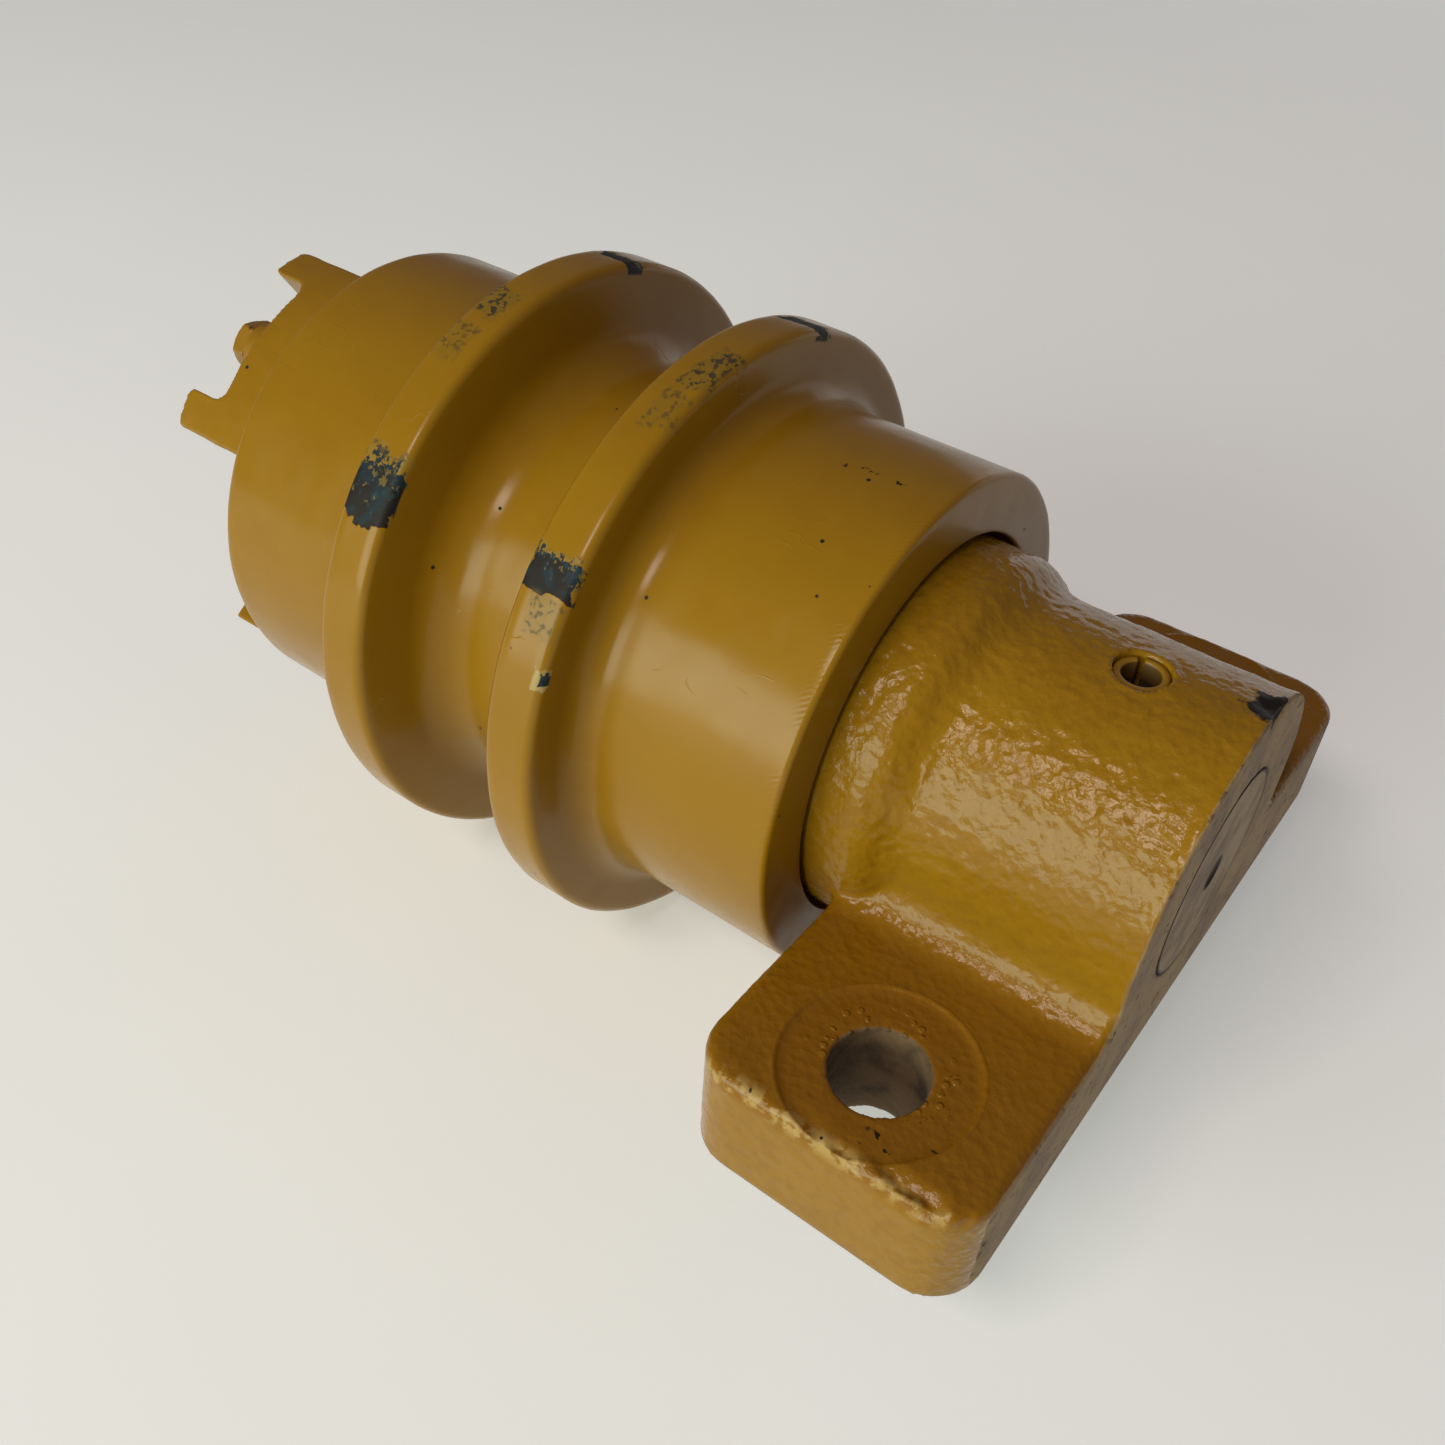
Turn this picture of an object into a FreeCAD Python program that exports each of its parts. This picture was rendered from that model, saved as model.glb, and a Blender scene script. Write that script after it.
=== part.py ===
"""Single-bracket carrier roller of a crawler excavator, millimetres, +Z up.

The origin is on the underside of the bracket's foot, midway between its two bolt
holes. The roller turns on a shaft along +Y, which the bracket holds at one end only.
"""
import FreeCAD
import Part
import Sketcher
import math
import os
import re

Vector = FreeCAD.Vector

# Driving dimensions. Every one is a cell of the sheet with this alias.
SIZES = {
    # cast bracket
    "foot_width": 211.0,
    "foot_depth": 70.0,
    "ear_thickness": 30.0,
    "ear_corner_radius": 13.0,
    "ear_edge_radius": 3.0,
    "bolt_spacing": 165.0,
    "bolt_hole_dia": 22.0,
    "spot_face_dia": 44.0,
    "spot_face_depth": 0.8,
    "axis_height": 45.0,
    "hub_wall": 18.5,
    "hub_root_radius": 9.0,
    "flare_rise": 5.6,
    "flare_start": 54.0,
    "flare_run": 15.0,
    "hub_length": 84.0,
    "pin_inset": 28.6,
    # shaft
    "shaft_dia": 52.0,
    "collar_rise": 4.0,
    "waist_relief": 2.0,
    "tail_step": 4.0,
    "centre_drill_dia": 9.0,
    "centre_drill_depth": 5.0,
    "chamfer_size": 1.0,
    # spring pin
    "pin_dia": 13.0,
    "pin_wall": 2.2,
    "pin_slot": 2.2,
    "pin_length": 57.0,
    "pin_recess": 1.4,
    "pin_slot_turn": 25.0,
    # roller shell
    "shell_gap": 8.0,
    "shell_length": 181.5,
    "tread_dia": 132.6,
    "flange_dia": 165.5,
    "flange_width": 14.5,
    "flange_inset": 55.0,
    "flange_spread": 70.0,
    "flange_root_radius": 7.0,
    "flange_edge_radius": 2.2,
    "groove_dia": 117.0,
    "groove_root_radius": 12.0,
    "groove_lean": 9.0,
    "tread_edge": 1.6,
    "nose_clearance": 1.4,
    "counterbore_depth": 9.0,
    "cavity_dia": 74.0,
    "cover_step": 3.0,
    "chamber_length": 10.0,
    # castellated end of the shell
    "rim_step": 2.8,
    "rim_length": 26.0,
    "rim_shoulder": 2.0,
    "rim_gap_angle": 63.0,
    "notch_angle": 36.0,
    "notch_depth": 13.5,
    "notch_root_radius": 4.5,
    "horn_tip_radius": 2.2,
    "rim_turn": -33.5,
    # bushings and their running fits
    "bushing_wall": 5.0,
    "bushing_flange_width": 4.0,
    "bushing_flange_reach": 12.0,
    "bushing_length": 37.0,
    "running_clearance": 0.05,
    "end_float": 0.1,
    # floating face seal
    "seal_gap": 0.02,
    "seal_reach": 2.0,
    "seal_bore_clear": 3.0,
    "seal_wall": 3.0,
    "seal_nose_rise": 6.0,
    "seal_nose_width": 3.5,
    "seal_ring_width": 10.0,
    "toric_space": 8.5,
    "toric_clear": 0.05,
    "seal_floor_gap": 0.4,
    # shaft end stack
    "thrust_washer_width": 2.5,
    "thrust_plate_width": 6.0,
    "thrust_plate_reach": 11.0,
    "thrust_bolt_circle": 26.0,
    # fasteners, metric eight
    "screw_dia": 8.0,
    "screw_flats": 13.0,
    "screw_head": 5.3,
    "screw_hole_clear": 1.0,
    "washer_rim": 2.9,
    "washer_width": 2.0,
    "thrust_screw_length": 16.0,
    "cover_screw_length": 24.0,
    # end cover
    "cover_dia": 94.0,
    "cover_seat_depth": 10.5,
    "cover_seat_clear": 0.5,
    "cover_wall": 8.5,
    "cover_web": 7.0,
    "cover_dish_depth": 6.5,
    "cover_dish_taper": 3.0,
    "cover_ear_width": 16.0,
    "cover_ear_overlap": 2.0,
    "cover_ear_thickness": 2.5,
    "cover_bolt_reach": 7.5,
    # rubber rings in grooves
    "ring_section": 3.6,
    "ring_groove_width": 4.4,
    "shaft_ring_inset": 65.0,
    "cover_ring_inset": 6.0,
    # fill plug
    "plug_dia": 18.0,
    "plug_head_rim": 4.0,
    "plug_head": 5.0,
    "plug_socket": 10.0,
    "plug_socket_depth": 6.0,
    "plug_washer_rim": 4.5,
    "plug_washer_width": 1.5,
}

# Guard segments, cover ears and both sets of screws stand in threes about the roller axis.
COUNT = 3
FULL_TURN = 360
STEP_ANGLE = FULL_TURN / COUNT

# Radii about the roller axis, each from the piece that it fits.
SHAFT_R = "(shaft_dia / 2)"
COLLAR_R = f"({SHAFT_R} + collar_rise)"
TAIL_R = f"({SHAFT_R} - tail_step)"
HUB_R = f"({SHAFT_R} + hub_wall)"
FLARE_R = f"({HUB_R} + flare_rise)"
COUNTERBORE_R = f"({FLARE_R} + nose_clearance)"
SEAL_BORE_R = f"({COLLAR_R} + seal_bore_clear)"
SEAL_BACK_R = f"({SEAL_BORE_R} + seal_wall)"
HOUSING_R = f"({SEAL_BACK_R} + toric_space)"
TORIC_R = "(toric_space / 2 - toric_clear)"
TORIC_CENTRE_R = f"({SEAL_BACK_R} + toric_space / 2)"
INNER_BUSHING_R = f"({SHAFT_R} + bushing_wall)"
OUTER_BUSHING_R = f"({TAIL_R} + bushing_wall)"
PLATE_R = f"({TAIL_R} + thrust_plate_reach)"
SHAFT_GROOVE_R = f"({SHAFT_R} - ring_section)"
COVER_R = "(cover_dia / 2)"
COVER_GROOVE_R = f"({COVER_R} - ring_section)"
COVER_BOLT_R = f"({COVER_R} + cover_bolt_reach)"
TREAD_R = "(tread_dia / 2)"
RIM_R = f"({TREAD_R} - rim_step)"
FLANGE_R = "(flange_dia / 2)"
GROOVE_R = "(groove_dia / 2)"
SCREW_HOLE_R = "(screw_dia / 2 + screw_hole_clear / 2)"
WASHER_R = f"({SCREW_HOLE_R} + washer_rim)"

# Stations along the roller axis, from the bracket's end face to the roller's far end.
END_FACE = "(-foot_depth / 2)"
HUB_NOSE = f"({END_FACE} + hub_length)"
SHELL_START = "(foot_depth / 2 + shell_gap)"
SHELL_END = f"({SHELL_START} + shell_length)"
RIM_END = f"({SHELL_END} + rim_length)"
SEAL_FACE = f"({HUB_NOSE} + seal_reach)"
SEAL_DEPTH = "(seal_nose_width + toric_space + seal_floor_gap)"
HOUSING_FLOOR = f"({SEAL_FACE} - {SEAL_DEPTH})"
INNER_BUSHING = f"({SEAL_FACE} + seal_gap + {SEAL_DEPTH})"
COLLAR_FACE = f"({INNER_BUSHING} - end_float)"
INNER_BORE = f"({INNER_BUSHING} + bushing_flange_width)"
INNER_BORE_END = f"({INNER_BORE} + bushing_length)"
COVER_SEAT = f"({SHELL_END} - cover_seat_depth)"
OUTER_SEAT = f"({COVER_SEAT} - chamber_length)"
OUTER_BORE_START = f"({OUTER_SEAT} - bushing_length)"
OUTER_BUSHING_END = f"({OUTER_SEAT} + bushing_flange_width)"
WASHER_FACE = f"({OUTER_BUSHING_END} + end_float / 2)"
SHAFT_END = f"({WASHER_FACE} + thrust_washer_width)"
PLATE_FACE = f"({SHAFT_END} + thrust_plate_width)"
THRUST_HEAD = f"({PLATE_FACE} + washer_width)"
COVER_START = f"({COVER_SEAT} + cover_seat_clear)"
NOTCH_FLOOR = f"({RIM_END} - notch_depth)"
COVER_TOP = f"({NOTCH_FLOOR} + cover_ear_thickness)"
COVER_HEAD = f"({COVER_TOP} + washer_width)"
DISH_FLOOR = f"({COVER_TOP} - cover_dish_depth)"
PLUG_SEAT = f"({DISH_FLOOR} + plug_washer_width)"

doc = FreeCAD.newDocument("carrier_roller")
sheet = doc.addObject("Spreadsheet::Sheet", "Sizes")
for row, (alias, value) in enumerate(SIZES.items(), start=1):
    sheet.set(f"A{row}", alias.replace("_", " "))
    sheet.set(f"B{row}", str(value))
    sheet.setAlias(f"B{row}", alias)
doc.recompute()

NODES = []


def bound(formula):
    """The formula with each size read from the sheet."""
    return re.sub(r"[a-z]\w*", lambda word: "Sizes." + word[0] if word[0] in SIZES else word[0], formula)


def worth(formula):
    """What the formula comes to at the sheet's present sizes."""
    return float(sheet.evalExpression(bound(formula)))


def tie(thing, prop, formula):
    """Bind one property to the sheet."""
    thing.setExpression(prop, bound(formula))


def new_body(name, along="0", up="axis_height", node=True):
    """An empty body whose own Y axis is the roller axis, moved along it."""
    body = doc.addObject("PartDesign::Body", name)
    body.Label = name
    tie(body, ".Placement.Base.y", along)
    tie(body, ".Placement.Base.z", up)
    if node:
        NODES.append(body)
    return body


def new_sketch(body, name, role, lift="0"):
    """A sketch on one of the body's own origin planes, lifted along its normal."""
    sketch = body.newObject("Sketcher::SketchObject", name)
    plane = next(item for item in body.Origin.OriginFeatures if item.Role == role)
    sketch.AttachmentSupport = [(plane, "")]
    sketch.MapMode = "FlatFace"
    if lift != "0":
        tie(sketch, ".AttachmentOffset.Base.z", lift)
    return sketch


def arc_between(start, end, radius, side):
    """The short arc of this radius from start to end, its centre left (1) or right (-1)."""
    chord = end - start
    rise = math.sqrt(max(radius ** 2 - (chord.Length / 2) ** 2, 0.0))
    across = Vector(-chord.y, chord.x, 0).normalize()
    centre = (start + end) / 2 + across * rise * side
    first, last = (start, end) if side > 0 else (end, start)
    angles = [math.atan2(spot.y - centre.y, spot.x - centre.x) for spot in (first, last)]
    circle = Part.Circle(centre, Vector(0, 0, 1), radius)
    return Part.ArcOfCircle(circle, angles[0], angles[1])


def pin_point(sketch, edge, end, place):
    """Hold a point of the sketch at a place given by two formulas."""
    for kind, axis_line, formula in (("DistanceX", -2, place[0]), ("DistanceY", -1, place[1])):
        if formula == "0":
            sketch.addConstraint(Sketcher.Constraint("PointOnObject", edge, end, axis_line))
        else:
            held = Sketcher.Constraint(kind, -1, 1, edge, end, worth(formula))
            mark = sketch.addConstraint(held)
            tie(sketch, f"Constraints[{mark}]", formula)


def outline(sketch, corners):
    """A closed outline. A corner is (along, out), or (along, out, radius, side) before an arc."""
    spots = [Vector(worth(corner[0]), worth(corner[1]), 0) for corner in corners]
    base = sketch.GeometryCount
    heads = []
    for number, corner in enumerate(corners):
        start = spots[number]
        end = spots[(number + 1) % len(corners)]
        if len(corner) == 4:
            sketch.addGeometry(arc_between(start, end, worth(corner[2]), corner[3]), False)
            heads.append((1, 2) if corner[3] > 0 else (2, 1))
        else:
            sketch.addGeometry(Part.LineSegment(start, end), False)
            heads.append((1, 2))
    for number, corner in enumerate(corners):
        after = (number + 1) % len(corners)
        here, there = heads[number][1], heads[after][0]
        sketch.addConstraint(Sketcher.Constraint("Coincident", base + number, here, base + after, there))
        pin_point(sketch, base + number, heads[number][0], corner)
        if len(corner) == 4:
            mark = sketch.addConstraint(Sketcher.Constraint("Radius", base + number, worth(corner[2])))
            tie(sketch, f"Constraints[{mark}]", corner[2])


def circle(sketch, along, out, radius):
    """One full circle."""
    spot = Vector(worth(along), worth(out), 0)
    edge = sketch.addGeometry(Part.Circle(spot, Vector(0, 0, 1), worth(radius)), False)
    pin_point(sketch, edge, 3, (along, out))
    mark = sketch.addConstraint(Sketcher.Constraint("Radius", edge, worth(radius)))
    tie(sketch, f"Constraints[{mark}]", radius)


def turn(body, name, corners, kind="PartDesign::Revolution"):
    """Turn an outline of (along the axis, radius) corners about the body's Y axis."""
    sketch = new_sketch(body, name + "_outline", "YZ_Plane")
    outline(sketch, corners)
    feature = body.newObject(kind, name)
    feature.Profile = sketch
    feature.ReferenceAxis = (sketch, ["H_Axis"])
    feature.Angle = FULL_TURN
    return feature


def pad(body, name, sketch, length, backwards=False):
    """Extrude a sketch into material."""
    feature = body.newObject("PartDesign::Pad", name)
    feature.Profile = sketch
    tie(feature, "Length", length)
    feature.Reversed = backwards
    return feature


def cut(body, name, sketch, length):
    """Cut a sketch down, or back along the axis; a cut that removes nothing is an error."""
    doc.recompute()
    before = body.Shape.Volume
    feature = body.newObject("PartDesign::Pocket", name)
    feature.Profile = sketch
    tie(feature, "Length", length)
    feature.Reversed = sketch.AttachmentSupport[0][0].Role == "XZ_Plane"
    doc.recompute()
    if body.Shape.Volume > before - 0.01:
        raise RuntimeError(f"{name} cuts nothing")
    return feature


def repeat_round(body, name, feature):
    """Repeat a feature three times, evenly about the body's Y axis."""
    pattern = body.newObject("PartDesign::PolarPattern", name)
    pattern.Originals = [feature]
    axis = next(item for item in body.Origin.OriginFeatures if item.Role == "Y_Axis")
    pattern.Axis = (axis, [""])
    pattern.Angle = FULL_TURN
    pattern.Occurrences = COUNT
    body.Tip = pattern
    doc.recompute()
    return pattern


def round_edges(body, name, feature, chosen, radius):
    """Fillet every edge of a feature that the test chooses."""
    doc.recompute()
    edges = [f"Edge{i}" for i, edge in enumerate(feature.Shape.Edges, start=1) if chosen(edge)]
    if not edges:
        raise RuntimeError(f"{name} finds no edges")
    fillet = body.newObject("PartDesign::Fillet", name)
    fillet.Base = (feature, edges)
    tie(fillet, "Radius", radius)
    doc.recompute()
    return fillet


def ends(edge):
    """The two end points of an edge."""
    return [vertex.Point for vertex in edge.Vertexes]


def near(value, target):
    """Equal to within a hundredth of a millimetre."""
    return abs(value - target) < 0.01


def sector(sketch, angle, inner, outer):
    """A wedge across the roller axis, centred on the sketch's vertical, wide as the angle."""
    half = f"({angle} / 2)"
    outline(sketch, [
        (f"-{inner} * sin({half})", f"{inner} * cos({half})"),
        (f"{inner} * sin({half})", f"{inner} * cos({half})"),
        (f"{outer} * sin({half})", f"{outer} * cos({half})"),
        (f"-{outer} * sin({half})", f"{outer} * cos({half})"),
    ])


def make_bracket():
    """Cast bracket: a foot with two bolt ears under a round hub with a flared nose."""
    body = new_body("bracket", "0", "0")
    reach = f"({HUB_R} + hub_root_radius)"
    lift = "(ear_thickness + hub_root_radius - axis_height)"
    root_x = f"sqrt({reach} ^ 2 - {lift} ^ 2)"
    share = f"({HUB_R} / {reach})"
    touch_x = f"({share} * {root_x})"
    touch_z = f"(axis_height + {share} * {lift})"
    section = new_sketch(body, "foot_section", "XZ_Plane", "-foot_depth / 2")
    outline(section, [
        ("-foot_width / 2", "0"),
        ("foot_width / 2", "0"),
        ("foot_width / 2", "ear_thickness"),
        (root_x, "ear_thickness", "hub_root_radius", -1),
        (touch_x, touch_z),
        (f"-{touch_x}", touch_z, "hub_root_radius", -1),
        (f"-{root_x}", "ear_thickness"),
        ("-foot_width / 2", "ear_thickness"),
    ])
    foot = pad(body, "foot", section, "foot_depth")
    half_width = worth("foot_width / 2")
    top = worth("ear_thickness")

    def corner(edge):
        upright = not near(*[spot.z for spot in ends(edge)])
        return upright and all(near(abs(spot.x), half_width) for spot in ends(edge))

    corners = round_edges(body, "ear_corners", foot, corner, "ear_corner_radius")

    def rim(edge):
        on_top = all(near(spot.z, top) for spot in ends(edge))
        return on_top and not all(near(abs(spot.x), worth(root_x)) for spot in ends(edge))

    round_edges(body, "ear_edges", corners, rim, "ear_edge_radius")

    # The hub is turned about the roller axis; an even S of two arcs swells it to the nose.
    swell_arc = "((flare_run ^ 2 + flare_rise ^ 2) / (4 * flare_rise))"
    flare = f"({END_FACE} + flare_start)"
    hub_sketch = new_sketch(body, "hub_outline", "YZ_Plane")
    outline(hub_sketch, [
        (END_FACE, "axis_height"),
        (END_FACE, f"axis_height + {HUB_R}"),
        (flare, f"axis_height + {HUB_R}", swell_arc, 1),
        (f"{flare} + flare_run / 2", f"axis_height + {HUB_R} + flare_rise / 2", swell_arc, -1),
        (f"{flare} + flare_run", f"axis_height + {FLARE_R}"),
        (f"{HUB_NOSE} - chamfer_size", f"axis_height + {FLARE_R}"),
        (HUB_NOSE, f"axis_height + {FLARE_R} - chamfer_size"),
        (HUB_NOSE, "axis_height"),
    ])
    hub = body.newObject("PartDesign::Revolution", "hub")
    hub.Profile = hub_sketch
    hub.ReferenceAxis = (hub_sketch, ["Edge8"])
    hub.Angle = FULL_TURN

    # The foot stands flat on its pad, so the flare is trimmed level with it.
    level = new_sketch(body, "foot_level", "XY_Plane")
    outline(level, [
        ("-foot_width / 2", f"{END_FACE}"),
        ("foot_width / 2", f"{END_FACE}"),
        ("foot_width / 2", "foot_depth / 2"),
        ("-foot_width / 2", "foot_depth / 2"),
    ])
    cut(body, "foot_underside", level, f"2 * {FLARE_R}")

    bores = new_sketch(body, "shaft_bore_circle", "XZ_Plane", f"-{HUB_NOSE}")
    circle(bores, "0", "axis_height", SHAFT_R)
    cut(body, "shaft_bore", bores, "hub_length + 1")
    housing = new_sketch(body, "seal_housing_circle", "XZ_Plane", f"-{HUB_NOSE}")
    circle(housing, "0", "axis_height", HOUSING_R)
    cut(body, "seal_housing", housing, f"{HUB_NOSE} - {HOUSING_FLOOR}")

    for side, sign in (("left", "-"), ("right", "")):
        hole = new_sketch(body, f"{side}_hole_circle", "XY_Plane", "ear_thickness")
        circle(hole, f"{sign}bolt_spacing / 2", "0", "bolt_hole_dia / 2")
        cut(body, f"{side}_bolt_hole", hole, "ear_thickness + 1")
        spot = new_sketch(body, f"{side}_spot_circle", "XY_Plane", "ear_thickness")
        circle(spot, f"{sign}bolt_spacing / 2", "0", "spot_face_dia / 2")
        cut(body, f"{side}_spot_face", spot, "spot_face_depth")

    pin_hole = new_sketch(body, "pin_hole_circle", "XY_Plane", f"axis_height + {HUB_R} + 1")
    circle(pin_hole, "0", f"{END_FACE} + pin_inset", "pin_dia / 2")
    cut(body, "pin_hole", pin_hole, f"{HUB_R} + 1")


def make_shaft():
    """Fixed shaft, pressed into the bracket, with a collar, two journals and a waist."""
    body = new_body("shaft", END_FACE)
    collar = f"({HOUSING_FLOOR} - {END_FACE})"
    collar_end = f"({COLLAR_FACE} - {END_FACE})"
    waist_r = f"({SHAFT_R} - waist_relief)"
    waist = f"({INNER_BORE_END} - {END_FACE} + waist_relief)"
    waist_end = f"({OUTER_BORE_START} - {END_FACE} - waist_relief)"
    tail_end = f"({SHAFT_END} - {END_FACE})"
    groove = "shaft_ring_inset"
    turn(body, "turned_shaft", [
        ("0", "0"),
        ("0", SHAFT_R),
        (groove, SHAFT_R),
        (groove, SHAFT_GROOVE_R),
        (f"{groove} + ring_groove_width", SHAFT_GROOVE_R),
        (f"{groove} + ring_groove_width", SHAFT_R),
        (collar, SHAFT_R),
        (collar, COLLAR_R),
        (collar_end, COLLAR_R),
        (collar_end, SHAFT_R),
        (waist, SHAFT_R),
        (f"{waist} + waist_relief", waist_r),
        (f"{waist_end} - waist_relief", waist_r),
        (waist_end, TAIL_R),
        (tail_end, TAIL_R),
        (tail_end, "0"),
    ])
    turn(body, "centre_drill", [
        ("0", "0"),
        ("0", "centre_drill_dia / 2"),
        ("centre_drill_depth", "0"),
    ], "PartDesign::Groove")
    pin_hole = new_sketch(body, "pin_hole_circle", "XY_Plane", f"{SHAFT_R} + 1")
    circle(pin_hole, "0", "pin_inset", "pin_dia / 2")
    cut(body, "pin_hole", pin_hole, f"pin_length + pin_recess - {HUB_R} + {SHAFT_R} + 1")
    tapped = new_sketch(body, "tapped_circle", "XZ_Plane", f"-{tail_end}")
    circle(tapped, "0", "thrust_bolt_circle / 2", "screw_dia / 2")
    holes = cut(body, "tapped_hole", tapped, "thrust_screw_length")
    repeat_round(body, "tapped_holes", holes)


def make_spring_pin():
    """Slotted spring pin that keys the shaft to the bracket."""
    foot = f"axis_height + {HUB_R} - pin_recess - pin_length"
    body = new_body("spring_pin", f"{END_FACE} + pin_inset", foot)
    body.Placement.Rotation = FreeCAD.Rotation(Vector(0, 0, 1), SIZES["pin_slot_turn"])
    tie(body, ".Placement.Base.y", f"{END_FACE} + pin_inset")
    ring = new_sketch(body, "pin_circles", "XY_Plane")
    circle(ring, "0", "0", "pin_dia / 2")
    circle(ring, "0", "0", "pin_dia / 2 - pin_wall")
    pad(body, "tube", ring, "pin_length")
    slot = new_sketch(body, "slot_outline", "XY_Plane", "pin_length")
    outline(slot, [
        ("pin_dia / 4", "-pin_slot / 2"),
        ("pin_dia", "-pin_slot / 2"),
        ("pin_dia", "pin_slot / 2"),
        ("pin_dia / 4", "pin_slot / 2"),
    ])
    cut(body, "slot", slot, "pin_length")


def make_seal_ring(name, face, way):
    """One metal ring of the floating face seal; its nose is at the sealing face."""
    body = new_body(name, face)
    width = f"({way} * seal_ring_width)"
    nose = f"({way} * seal_nose_width)"
    turn(body, f"{name}_turned", [
        ("0", SEAL_BACK_R),
        ("0", f"{SEAL_BACK_R} + seal_nose_rise"),
        (nose, f"{SEAL_BACK_R} + seal_nose_rise"),
        (nose, SEAL_BACK_R),
        (width, SEAL_BACK_R),
        (width, SEAL_BORE_R),
        (nose, SEAL_BORE_R),
    ])


def make_ring(name, along, centre_radius, section_radius):
    """A round-section rubber ring about the roller axis."""
    ring = doc.addObject("Part::Torus", name)
    ring.Label = name
    tie(ring, "Radius1", centre_radius)
    tie(ring, "Radius2", section_radius)
    ring.Placement.Rotation = FreeCAD.Rotation(Vector(1, 0, 0), -90)
    tie(ring, ".Placement.Base.y", along)
    tie(ring, ".Placement.Base.z", "axis_height")
    NODES.append(ring)


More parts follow.
